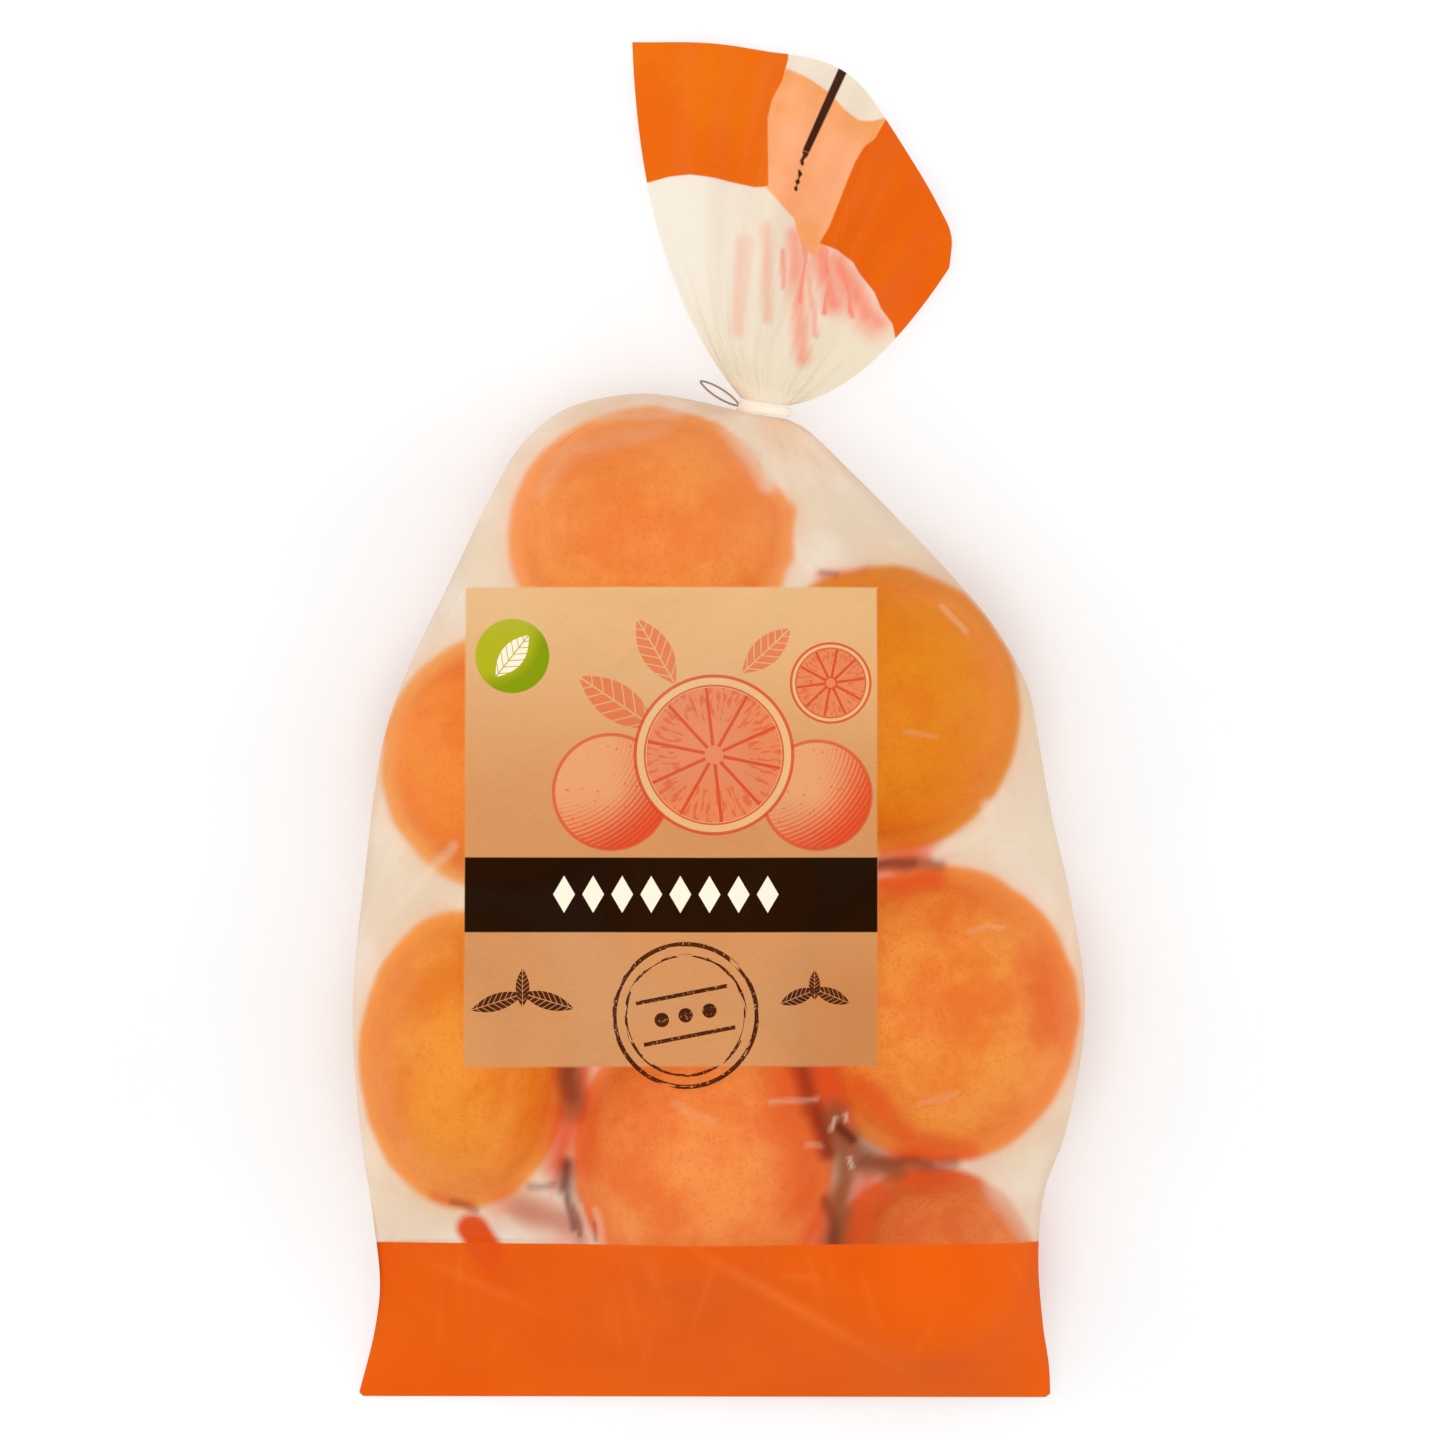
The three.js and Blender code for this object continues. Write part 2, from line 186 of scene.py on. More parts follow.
MILK_AND_HIGHLIGHT_STROKES = [
    (-30.6, -122.0, -29.0, -130.0, 1.6, 0.35), (-34.4, -120.5, -33.0, -127.5, 1.1, 0.35),
    (-53.0, -124.5, -47.5, -129.0, 3.0, 0.35), (31.0, -98.0, 31.5, -99.8, 0.8, 0.6),
    (32.2, -108.8, 32.6, -110.8, 0.8, 0.6), (-66.0, -31.5, -80.0, -46.5, 2.2, 0.3),
    (4.5, 73.5, 13.0, 61.5, 7.0, 0.9), (9.5, 66.0, 12.2, 58.5, 4.4, 0.75),
    (-43.0, 70.2, -32.0, 75.8, 2.4, 0.25), (-31.0, 75.0, -10.0, 75.8, 2.4, 0.25),
    (68.0, -116.0, 77.0, -128.0, 5.0, 0.5), (66.5, -21.5, 68.5, -29.0, 2.8, 0.5),
    (54.0, -33.6, 66.0, -27.5, 3.0, 0.6), (28.6, -98.5, 27.4, -101.5, 0.9, 0.5),
    (12.5, -94.8, 24.0, -94.0, 1.2, 0.3), (21.5, -105.4, 25.0, -105.9, 1.0, 0.25),
    (55.0, 27.6, 61.0, 21.4, 1.3, 0.3), (46.0, -3.4, 53.5, -4.4, 1.3, 0.16),
    (61.5, -52.6, 70.0, -51.4, 1.3, 0.16), (50.0, -95.2, 58.0, -93.2, 1.6, 0.16),
    (-44.0, 56.0, -38.0, 66.0, 3.4, 0.14), (-38.0, 66.0, -14.0, 71.5, 3.4, 0.14),
    (-70.0, 19.0, -66.0, 26.0, 2.0, 0.3), (-11.0, -95.4, -1.0, -100.0, 1.8, 0.12),
]
# The band's colour where a lobe of it is drawn up: one stroke, as above.
TONGUE = [(-61.4, -126.6, -57.4, -134.0, 5.2, 1.0), (-57.4, -134.0, -55.5, -138.0, 5.6, 0.4)]
# Print on the skirt: corners of the two orange panels, of the paler sunken one between
# them, and of the dark line with its frayed tail.
LEFT_PANEL = [
    (-40, 190), (19, 190), (17.0, 164.7), (15.5, 159.5), (12.9, 154.8), (11.9, 150.2),
    (12.1, 133.2), (8.9, 132.9), (4.3, 134.0), (-1.6, 135.4), (-7.6, 136.2),
    (-12.8, 135.7), (-18.1, 134.2), (-40, 131),
]
RIGHT_PANEL = [
    (41.3, 149.6), (38.6, 144.9), (36.0, 143.0), (34.0, 139.7), (32.0, 135.0),
    (29.7, 129.1), (27.4, 123.2), (24.9, 118.9), (29.4, 117.2), (33.3, 114.3),
    (35.0, 111.3), (38.6, 106.7), (40.3, 102.7), (43.2, 98.8), (44.2, 94.1),
    (80, 90), (80, 170),
]
SUNKEN_PANEL = [
    (12.1, 133.2), (11.9, 150.2), (12.9, 154.8), (15.5, 159.5), (16.9, 162.0),
    (22.0, 159.6), (27.0, 156.4), (31.0, 152.0), (34.5, 149.2), (38.0, 148.9),
    (41.3, 149.6), (38.6, 144.9), (34.0, 139.7), (32.0, 135.0), (29.7, 129.1),
    (27.4, 123.2), (23.5, 116.5), (21.0, 119.0), (19.2, 125.5),
]
LINE = [(29.9, 163.4), (32.1, 162.6), (22.3, 141.7), (20.7, 142.4)]
LINE_TAIL = [(20.7, 142.4), (22.3, 141.7), (19.4, 131.4), (18.0, 132.0)]
# Sharp creases of crumpled film low down, of film drawn together at the top, and across
# the band: each from x, y to x, y with a height and a width.
LOW_CREASES = [
    (-37.5, -116.0, -35.5, -128.0, 0.3, 0.9), (-34.0, -117.0, -33.0, -129.5, 0.3, 0.7),
    (-31.5, -121.0, -29.5, -129.5, 0.3, 0.6), (-28.5, -122.5, -27.0, -129.0, 0.25, 0.6),
    (-39.5, -109.0, -31.0, -113.0, 0.3, 0.8), (-38.5, -104.0, -32.0, -106.0, 0.25, 0.8),
    (31.0, -92.0, 37.0, -104.0, 0.3, 1.0), (33.0, -112.0, 29.5, -127.5, 0.3, 1.0),
    (-66.0, -31.5, -80.0, -46.5, 0.4, 1.6), (66.5, -115.0, 77.0, -128.5, 0.4, 1.6),
]
TOP_CREASES = [
    (-43.8, 65.0, -30.0, 78.6, 0.5, 1.6), (-32.0, 76.8, -5.0, 75.4, 0.5, 1.5),
    (-26.5, 73.6, -3.8, 72.0, 0.4, 1.3), (-20.0, 71.4, 0.0, 66.0, 0.45, 1.3),
    (-5.0, 72.5, 10.0, 62.5, 0.5, 1.4), (6.0, 66.0, 12.0, 50.0, 0.4, 1.4),
]
BAND_CREASES = [
    (-12.0, -128.0, 58.0, -170.0, 0.55, 2.6), (-78.0, -133.0, -40.0, -150.0, 0.35, 2.0),
]
# Neighbouring fruit, and how many small creases cross the valley between them.
CREASED_VALLEYS = [
    ("top", "upper_left", 9), ("top", "upper_right", 10), ("upper_left", "lower_left", 9),
    ("upper_right", "lower_right", 8), ("lower_left", "bottom", 14),
    ("bottom", "lower_right", 12), ("bottom", "bottom_right", 12),
    ("lower_right", "bottom_right", 9),
]
# Blushes on the skirt, strokes as above.
BLUSH_STROKES = [
    (6.5, 119.0, 5.0, 97.0, 3.4, 0.35), (12.0, 123.0, 12.5, 100.0, 2.6, 0.40),
    (19.5, 121.0, 21.0, 90.0, 4.0, 0.70), (25.0, 119.0, 29.0, 104.0, 5.6, 0.88),
    (30.0, 114.0, 37.5, 101.0, 6.0, 0.88), (33.5, 106.0, 40.5, 99.0, 4.8, 0.78),
    (16.5, 117.0, 16.8, 108.0, 1.6, 0.70), (22.5, 112.0, 24.5, 96.0, 1.8, 0.60),
    (25.5, 113.5, 39.0, 99.5, 7.5, 0.70), (27.5, 117.0, 27.0, 101.5, 1.5, 0.98),
    (31.5, 113.0, 33.5, 100.5, 1.6, 0.98), (22.0, 118.5, 20.5, 104.0, 1.6, 0.95),
]


# ---- Arrays ----

def smooth(value, low, high):
    """0 below low, 1 above high, and the cubic 3t^2 - 2t^3 between them."""
    t = np.clip((value - low) / (high - low), 0, 1)
    return t * t * (3 - 2 * t)


def lerp(a, b, share):
    """The value at a share of the way from a to b."""
    return a + (b - a) * share


def smooth_curve(points, per_span=32):
    """Centripetal Catmull-Rom curve: on each span a Hermite cubic whose end slopes
    weigh the chords on both sides by the square roots of their lengths."""
    p = np.array(points, float)
    p = np.vstack([2 * p[0] - p[1], p, 2 * p[-1] - p[-2]])
    step = np.sqrt(np.linalg.norm(np.diff(p, axis=0), axis=1))[:, None]
    before, here, after = step[:-2], step[1:-1], step[2:]
    p0, p1, p2, p3 = p[:-3], p[1:-2], p[2:-1], p[3:]
    slope1 = here * ((p1 - p0) / before - (p2 - p0) / (before + here) + (p2 - p1) / here)
    slope2 = here * ((p2 - p1) / here - (p3 - p1) / (here + after) + (p3 - p2) / after)
    t = np.linspace(0, 1, per_span, endpoint=False)[None, :, None]
    p1, p2, slope1, slope2 = (a[:, None, :] for a in (p1, p2, slope1, slope2))
    spans = ((2 * t**3 - 3 * t**2 + 1) * p1 + (t**3 - 2 * t**2 + t) * slope1
             + (3 * t**2 - 2 * t**3) * p2 + (t**3 - t**2) * slope2)
    return np.vstack([spans.reshape(-1, 2), p2[-1]])


def at_share(curve, share):
    """Points of a curve at shares of its length."""
    length = np.concatenate([[0], np.cumsum(np.linalg.norm(np.diff(curve, axis=0), axis=1))])
    wanted = np.asarray(share) * length[-1]
    return np.stack([np.interp(wanted, length, curve[:, i]) for i in (0, 1)], axis=-1)


def waves(x, y, size, seed, count=12):
    """Soft noise about 0: the mean of plane waves about size long, in drawn directions."""
    rng = np.random.default_rng(seed)
    total = np.zeros(np.broadcast(x, y).shape)
    for turn, phase, stretch in rng.uniform(0, 1, (count, 3)):
        k = 2 * math.pi / (size * lerp(0.7, 1.5, stretch))
        angle = 2 * math.pi * turn
        total += np.sin(k * (x * math.cos(angle) + y * math.sin(angle)) + 6.3 * phase)
    return total * math.sqrt(2 / count)


def ridges(x, y, lines):
    """Sharp film creases: each line (x0, y0, x1, y1, height, width) is a tent across
    its length, 1 - distance / width, that rises and falls as a half sine along it."""
    total = np.zeros(x.shape)
    for x0, y0, x1, y1, height, width in lines:
        length = math.hypot(x1 - x0, y1 - y0)
        ux, uy = (x1 - x0) / length, (y1 - y0) / length
        reach = width + 0.5 * length
        near = (abs(x - 0.5 * (x0 + x1)) < reach) & (abs(y - 0.5 * (y0 + y1)) < reach)
        dx, dy = x[near] - x0, y[near] - y0
        along = np.clip((dx * ux + dy * uy) / length, 0, 1)
        side = abs(dy * ux - dx * uy)
        tent = np.clip(1 - side / width, 0, 1) ** 1.4
        total[near] += height * tent * np.sin(math.pi * along)
    return total


def strokes(x, y, lines, core=0.0):
    """Soft strokes: the greatest of their strengths, each one full within the share
    core of its half-width and falling off as a cubic to 0 at the half-width."""
    total = np.zeros(x.shape)
    for x0, y0, x1, y1, width, strength in lines:
        dx, dy = x1 - x0, y1 - y0
        t = np.clip(((x - x0) * dx + (y - y0) * dy) / (dx * dx + dy * dy), 0, 1)
        away = np.hypot(x - x0 - t * dx, y - y0 - t * dy)
        total = np.maximum(total, strength * (1 - smooth(away, core * width, width)))
    return total


def polygon_distance(x, y, corners):
    """Distance in mm to a polygon's outline, positive inside it."""
    corners = np.array(corners, float)
    nearest = np.full(x.shape, 1e9)
    inside = np.zeros(x.shape, bool)
    for (ax, ay), (bx, by) in zip(corners, np.roll(corners, -1, axis=0)):
        ex, ey = bx - ax, by - ay
        t = np.clip(((x - ax) * ex + (y - ay) * ey) / (ex * ex + ey * ey), 0, 1)
        nearest = np.minimum(nearest, np.hypot(x - ax - t * ex, y - ay - t * ey))
        crosses = (ay > y) != (by > y)
        inside ^= crosses & (x < ax + (y - ay) * ex / (ey if ey else 1e-9))
    return np.where(inside, nearest, -nearest)


# ---- Meshes ----

def mesh_piece(name, points, quads, triangles=None):
    """A mesh from whole arrays of points in mm and of corner numbers."""
    mesh = bpy.data.meshes.new(name)
    triangles = np.zeros((0, 3), int) if triangles is None else triangles
    corners = np.concatenate([quads.ravel(), triangles.ravel()])
    sizes = np.concatenate([np.full(len(quads), 4), np.full(len(triangles), 3)])
    mesh.vertices.add(len(points))
    mesh.vertices.foreach_set("co", (points * MM).astype(np.float32).ravel())
    mesh.loops.add(len(corners))
    mesh.loops.foreach_set("vertex_index", corners.astype(np.int32))
    mesh.polygons.add(len(sizes))
    starts = np.concatenate([[0], np.cumsum(sizes)[:-1]])
    mesh.polygons.foreach_set("loop_start", starts.astype(np.int32))
    mesh.polygons.foreach_set("use_smooth", np.full(len(sizes), True))
    mesh.update(calc_edges=True)
    piece = bpy.data.objects.new(name, mesh)
    bpy.context.scene.collection.objects.link(piece)
    return piece


def grid_quads(rows, columns, flipped=False):
    """Corner numbers of a grid of points, rows first."""
    number = np.arange(rows * columns).reshape(rows, columns)
    a, b = number[:-1, :-1], number[:-1, 1:]
    c, d = number[1:, 1:], number[1:, :-1]
    order = (a, d, c, b) if flipped else (a, b, c, d)
    return np.stack([corner.ravel() for corner in order], axis=1)


def sheet_piece(name, points, flipped=False):
    """A mesh from a grid of points in rows and columns."""
    rows, columns = points.shape[:2]
    return mesh_piece(name, points.reshape(-1, 3), grid_quads(rows, columns, flipped))


def keep(piece, name, values, kind="FLOAT", field="value"):
    """A value or colour for each vertex, which the material reads as an attribute."""
    layer = piece.data.attributes.new(name, kind, "POINT")
    layer.data.foreach_set(field, np.asarray(values, np.float32).ravel())


# ---- The filled bag ----

def side_curve(points, side):
    """The curve of one side of the bag, led on to that side of the neck."""
    end = NECK + side * NECK_RADIUS * ACROSS - NECK_HALF_LENGTH * ALONG
    return smooth_curve(points + [tuple(end[:2])])


LEFT_CURVE, RIGHT_CURVE = side_curve(LEFT_SIDE, -1), side_curve(RIGHT_SIDE, 1)


def turn_of(across):
    """Share of a half-turn at a share of the way across a row."""
    return np.arccos(np.clip(1 - 2 * across, -1, 1)) / math.pi


def roundness(across):
    """Half-round rise across a row: 0 at both sides and 1 in the middle."""
    return np.sin(math.pi * turn_of(across))


def pleat(across):
    """Folds across a row, with a valley in the middle and none at the two sides."""
    return -np.sin(2 * math.pi * PLEATS_ACROSS * turn_of(across)) * roundness(across)


def fruit_reach(middle, half, x, y):
    """Height of a fruit's upper half over its middle, and nothing outside it."""
    inside = 1 - ((x - middle[0]) / half[0]) ** 2 - ((y - middle[1]) / half[1]) ** 2
    return np.where(inside > 0, half[2] * np.sqrt(np.maximum(inside, 0)), np.nan)


def fruit_push(x, y, face, clearance):
    """Signed height that the film can't sink below: over the upper halves for
    face 1, and under the lower halves for face -1."""
    push = np.full(x.shape, -1e3)
    for middle, half, lift, _ in FRUIT.values():
        reach = lift + half[2] + face * (fruit_reach(middle, half, x, y) + clearance)
        push = np.fmax(push, face * reach)
    return push


def plan_distance(middle, half, x, y):
    """Distance in plan to one fruit's outline, negative inside it: (reach - 1) times
    the fruit's mean half-width."""
    reach = np.hypot((x - middle[0]) / half[0], (y - middle[1]) / half[1])
    return (reach - 1) * 0.5 * (half[0] + half[1])


def fruit_distances(x, y):
    """Distances in plan to the nearest and second nearest fruit's outlines."""
    away = [plan_distance(middle, half, x, y) for middle, half, _, _ in FRUIT.values()]
    away = np.sort(np.stack(away), axis=0)
    return away[0], away[1]


def side_height(x, y, seam_height, row_share):
    """Height of the side edge: the fruit's middles nearby, weighed by 1 / distance^6,
    come down to the seam at the bottom and go over to the neck at the top."""
    weights, heights = 0, 0
    for middle, half, _, _ in FRUIT.values():
        weight = 1 / np.hypot(x - middle[0], y - middle[1]) ** 6
        weights = weights + weight
        heights = heights + weight * half[2]
    rise = smooth(y, LEFT_SIDE[0][1], LEFT_SIDE[0][1] + SEAM_RISE_LENGTH)
    height = lerp(seam_height, heights / weights, rise)
    return lerp(height, NECK[2], smooth(row_share, GATHER_FROM, 1.0))


def body_plan(rows, across):
    """x, y and side height of every grid point: straight rows between the two sides,
    which are shared out by their lengths."""
    share = np.linspace(0, 1, rows + 1)
    left, right = at_share(LEFT_CURVE, share), at_share(RIGHT_CURVE, share)
    from_seam = np.minimum(1, (left[:, 1] - LEFT_SIDE[0][1]) / CORNER_RADIUS)
    inset = CORNER_RADIUS * (1 - np.sqrt(1 - (1 - from_seam) ** 2))
    left[:, 0] += inset
    right[:, 0] -= inset
    low = side_height(left[:, 0], left[:, 1], SEAM_HEIGHTS[0], share)
    high = side_height(right[:, 0], right[:, 1], SEAM_HEIGHTS[1], share)
    x = lerp(left[:, :1], right[:, :1], across)
    y = lerp(left[:, 1:], right[:, 1:], across)
    return x, y, lerp(low[:, None], high[:, None], across)


def stretched(face):
    """Heights of one film on the finest cosine grid. The film goes from side to side
    where each point is the mean of its four neighbours less a little sag, pushed out
    by the fruit; it is solved on a coarse grid first, then on grids twice as fine."""
    height = None
    for level in range(LEVELS):
        scale = 2 ** level
        columns, rows = COARSE_COLUMNS * scale, COARSE_ROWS * scale
        across = 0.5 - 0.5 * np.cos(math.pi * np.arange(columns + 1) / columns)
        x, y, side = body_plan(rows, across)
        ramp = np.minimum(1, EDGE_RAMP * roundness(across))
        new = side.copy()
        new[0] += face * 0.5 * SEAM_THICKNESS * ramp
        new[-1] += face * NECK_RADIUS * roundness(across)
        if height is not None:
            fine = np.repeat(np.repeat(height, 2, 0), 2, 1)[:-1, :-1]
            fine[1::2] = 0.5 * (fine[:-1:2] + fine[2::2])
            fine[:, 1::2] = 0.5 * (fine[:, :-1:2] + fine[:, 2::2])
            new[1:-1, 1:-1] = fine[1:-1, 1:-1]
        push = fruit_push(x, y, face, FILM_CLEARANCE)
        sinking = (UPPER_SAG if face > 0 else LOWER_AIR) / scale**2
        parity = np.add.outer(np.arange(rows + 1), np.arange(columns + 1))[1:-1, 1:-1] % 2
        relax, passes = FIRST_SOLVE if level == 0 else FINER_SOLVE
        for _ in range(passes):
            for odd in (0, 1):
                inner = new[1:-1, 1:-1]
                around = new[:-2, 1:-1] + new[2:, 1:-1] + new[1:-1, :-2] + new[1:-1, 2:]
                moved = inner + relax * (0.25 * around - sinking - inner)
                moved = face * np.maximum(face * moved, push[1:-1, 1:-1])
                new[1:-1, 1:-1] = np.where(parity == odd, moved, inner)
        height = new
    return height


def across_steps(columns):
    """Shares across a row, half even and half closer together near the sides."""
    even = np.arange(columns + 1) / columns
    return 0.5 * even + 0.5 * (0.5 - 0.5 * np.cos(math.pi * even))


def resampled(height, across):
    """Heights of the cosine grid read at other shares across, by cubic steps."""
    columns = height.shape[1] - 1
    place = turn_of(across) * columns
    base = np.clip(np.floor(place).astype(int), 1, columns - 2)
    t = place - base
    h0, h1, h2, h3 = (height[:, base + i] for i in (-1, 0, 1, 2))
    return h1 + 0.5 * t * (h2 - h0 + t * (2 * h0 - 5 * h1 + 4 * h2 - h3
                                          + t * (3 * (h1 - h2) + h3 - h0)))


def film_face(face, columns):
    """x, y, height and edge ramp of one face of the bag, spaced off the fruit, with
    low pleats by the neck, and pressed flat on the ground underneath."""
    across = across_steps(columns)
    x, y, side = body_plan(BODY_ROWS, across)
    height = resampled(stretched(face), across)
    height[:, [0, -1]] = side[:, [0, -1]]
    row_share = np.linspace(0, 1, BODY_ROWS + 1)[:, None]
    inside = np.minimum(1, EDGE_RAMP * roundness(across) * np.sin(math.pi * row_share))
    towards_neck = np.maximum(0, (row_share - GATHER_FROM) / GATHER_SHARE)
    z = height + face * 0.5 * FACE_SPACING * inside
    z += BAG_PLEAT_DEPTH * pleat(across) * np.sin(math.pi * towards_neck)
    if face < 0:
        z -= PRESSED_FLAT * inside
    return x, y, z, inside


def neck_polar(x, y):
    """Distance from the neck and the angle round it."""
    return np.hypot(x - NECK[0], y - NECK[1]), np.arctan2(y - NECK[1], x - NECK[0])


def neck_folds(x, y, folds, near, far, seed):
    """Sharp folds that run out from the neck: 1 - |sin| round it, bent by soft noise,
    growing in and dying out between the distances near and far."""
    distance, angle = neck_polar(x, y)
    bend = 0.10 * waves(distance, angle * 20, 40, seed)
    fold = (1 - abs(np.sin(folds * (angle + bend)))) ** 2
    strength = 0.6 + 0.4 * waves(np.cos(angle) * 30, np.sin(angle) * 30, 9, seed + 1)
    window = smooth(distance, near, near + 8) * (1 - smooth(distance, 0.35 * far, far))
    return fold * window * np.clip(strength, 0, 1.4)


def bridging_creases(rng):
    """Creases that cross the valleys between neighbouring fruit, along the pull."""
    lines = []
    for first, second, count in CREASED_VALLEYS:
        (a, half_a, _, _), (b, half_b, _, _) = (
            FRUIT["mandarin_" + name] for name in (first, second))
        a, b = np.array(a), np.array(b)
        pull = (b - a) / np.linalg.norm(b - a)
        valley = a + pull * half_a[0] / (half_a[0] + half_b[0]) * np.linalg.norm(b - a)
        for _ in range(count):
            aside = rng.uniform(-1.0, 1.0) * 0.9 * min(half_a[0], half_b[0])
            angle = rng.normal(0, 0.28) - 0.012 * aside
            c, s = math.cos(angle), math.sin(angle)
            way = np.array([c * pull[0] - s * pull[1], s * pull[0] + c * pull[1]])
            middle = valley + aside * np.array([-pull[1], pull[0]]) + rng.normal(0, 3) * pull
            length = rng.uniform(9, 30)
            ends = np.concatenate([middle - 0.5 * length * way, middle + 0.5 * length * way])
            lines.append((*ends, rng.uniform(0.15, 0.5), rng.uniform(0.9, 2.0)))
    return lines


def side_creases(rng):
    """Creases in the slack film between the fruit and the two side edges."""
    lines = []
    for curve, sense in ((LEFT_CURVE, 1), (RIGHT_CURVE, -1)):
        for share in rng.uniform(0.08, 0.9, 34):
            edge = at_share(curve, share)
            ahead = at_share(curve, share + 0.01) - edge
            along = ahead / np.linalg.norm(ahead)
            inward = sense * np.array([along[1], -along[0]])
            tilt = rng.normal(0.9, 0.5)
            way = math.cos(tilt) * inward + math.sin(tilt) * along
            start = edge + inward * rng.uniform(1, 8)
            end = start + way * rng.uniform(8, 24)
            lines.append((*start, *end, rng.uniform(0.15, 0.45), rng.uniform(0.8, 1.8)))
    return lines


def band_creases(rng):
    """The long slanting creases and some short ones in the flat bottom of the bag."""
    lines = list(BAND_CREASES)
    for x in rng.uniform(-80, 76, 16):
        top = rng.uniform(-150, -126)
        drift = rng.normal(0, 7)
        lines.append((x, top, x + drift, top - rng.uniform(10, 26), rng.uniform(0.12, 0.3), 1.8))
    return lines


def seam_ribs(y):
    """The weld along the bottom edge: five fine ribs pressed into both films."""
    from_edge = y - LEFT_SIDE[0][1]
    rib = RIB_DEPTH * np.cos(2 * math.pi * from_edge / RIB_SPACING)
    return rib * (1 - smooth(from_edge, *RIBS_END))


def gathered(x, y, finesse, seed):
    """Share of the film that gathers to the neck, and soft streaks that run out from
    it: noise on the angle round the neck, drawn out along the distance."""
    distance, angle = neck_polar(x, y)
    near = 1 - smooth(distance, 6, 74)
    streak = waves(angle * finesse, distance * 0.06, 4.0, seed)
    streak += 0.6 * waves(angle * finesse * 2.3, distance * 0.09, 4.0, seed + 1)
    return near, np.clip(0.5 + 0.28 * streak, 0, 1)


# Cover of the unprinted film: on a fruit; in the soft rim inside its outline, where
# the film carries the fruit's painted glow over the fruit's shaded sides; and in the
# gathers by the neck, at least and with their streaks.
ON_FRUIT, IN_RIM, IN_GATHERS, IN_STREAKS = 0.015, 0.85, 0.74, 0.2
FRONT_MILK, BACK_MILK = 0.80, 0.82       # and away from fruit, in front and behind
GLOW_REACH = 3.0                         # mm past a fruit in which its glow dies out


def film_haze(x, y, lift, marks, milk):
    """Cover of the unprinted film, 0 clear to 1 opaque. It is thin where the film lies
    on a fruit, milky past the fruit's soft outline, and thick in the gathers by the
    neck and along creases, which are paler partly as film folded double and partly as a
    painted highlight."""
    outside, _ = ragged_distance(x, y)
    _, streak = gathered(x, y, 17, 61)
    on_fruit = ON_FRUIT + 0.01 * waves(x, y, 17, 64) + 0.05 * smooth(lift, 3, 16)
    rim = IN_RIM * smooth(outside, -6.0, -0.5)
    close = 0.12 * np.exp(-np.maximum(outside, 0) / GLOW_REACH)
    far = milk + close + 0.04 * waves(x, y, 19, 65)
    # Creases add cover: partly film folded double, partly a painted highlight.
    haze = lerp(np.maximum(on_fruit, rim), far, smooth(outside, -1.5, 1.5)) + marks * 0.12
    collar = (1 - smooth(neck_polar(x, y)[0], 8, 42)) * lerp(0.3, 1, smooth(outside, -4, 3))
    haze = lerp(haze, IN_GATHERS + IN_STREAKS * streak, collar)
    return np.clip(haze, 0.01, 0.95)


def ragged_distance(x, y):
    """Distance to the nearest fruit's outline, made uneven by soft noise, more so
    towards the neck on the right, where the film is drawn together."""
    nearest, second = fruit_distances(x, y)
    near, _ = gathered(x, y, 17, 61)
    uneven = waves(x, y, 15, 62) * 0.8 + waves(x, y, 7, 63) * 0.25
    return nearest + uneven * (0.15 + 0.8 * smooth(x, -22, 4) * near), second


def steepness(x, y, z):
    """0 where a grid surface is level and 1 where it is upright: the level part of the
    cross product of its two steps, over the whole."""
    (ax, ay, az), (bx, by, bz) = (
        [np.gradient(value, axis=axis) for value in (x, y, z)] for axis in (0, 1))
    level = np.hypot(ay * bz - az * by, az * bx - ax * bz)
    return level / np.maximum(np.hypot(level, ax * by - ay * bx), 1e-9)


def side_touch(x, y, z):
    """Where the film's upright sides lie against a fruit: 1 within 4 mm of it and 0
    from 10 mm, less towards the fruit's top and its underside."""
    touch = np.zeros(x.shape)
    for middle, half, lift, _ in FRUIT.values():
        dx, dy = (x - middle[0]) / half[0], (y - middle[1]) / half[1]
        dz = (z - lift - half[2]) / half[2]
        away = (np.sqrt(dx**2 + dy**2 + dz**2) - 1) * sum(half) / 3
        touch = np.maximum(touch, (1 - smooth(away, 4.0, 10.0)) * (1 - smooth(abs(dz), 0.6, 0.9)))
    return touch * smooth(steepness(x, y, z), 0.75, 0.93)


def fruit_glow(piece, x, y):
    """Warm is the painted glow that a fruit gives the film, its colour laid on as light
    from the fruit: 1 inside its outline, falling to 0.3 just past it and on as
    exp(-distance / 3), with some by the neck. Its colour is that of the fruits, weighed
    by 1 / (1 + distance)^6, with painted reddish shade in narrow crevices."""
    outside, second = ragged_distance(x, y)
    by_neck = 0.27 * (1 - smooth(neck_polar(x, y)[0], 5, 32))
    tail = 0.3 * np.exp(-np.maximum(outside, 0) / GLOW_REACH)
    keep(piece, "warm", np.maximum(lerp(1.0, tail, smooth(outside, -1.0, 1.4)), by_neck))
    total, colour = 0, 0
    for name, (middle, half, _, _) in FRUIT.items():
        weight = 1 / (1 + np.maximum(0, plan_distance(middle, half, x, y))) ** 6
        total = total + weight
        colour = colour + weight[..., None] * np.array(PEELS[name][2])
    # Painted reddish shade in the narrow crevices low down.
    crevice_red = 0.85 * (1 - smooth(second, 1.0, 8.0)) * (1 - smooth(y, -92, -76))
    colour = lerp(colour / total[..., None], np.array(PAINTED_CREVICE_RED), crevice_red[..., None])
    keep(piece, "glow", colour, "FLOAT_COLOR", "color")


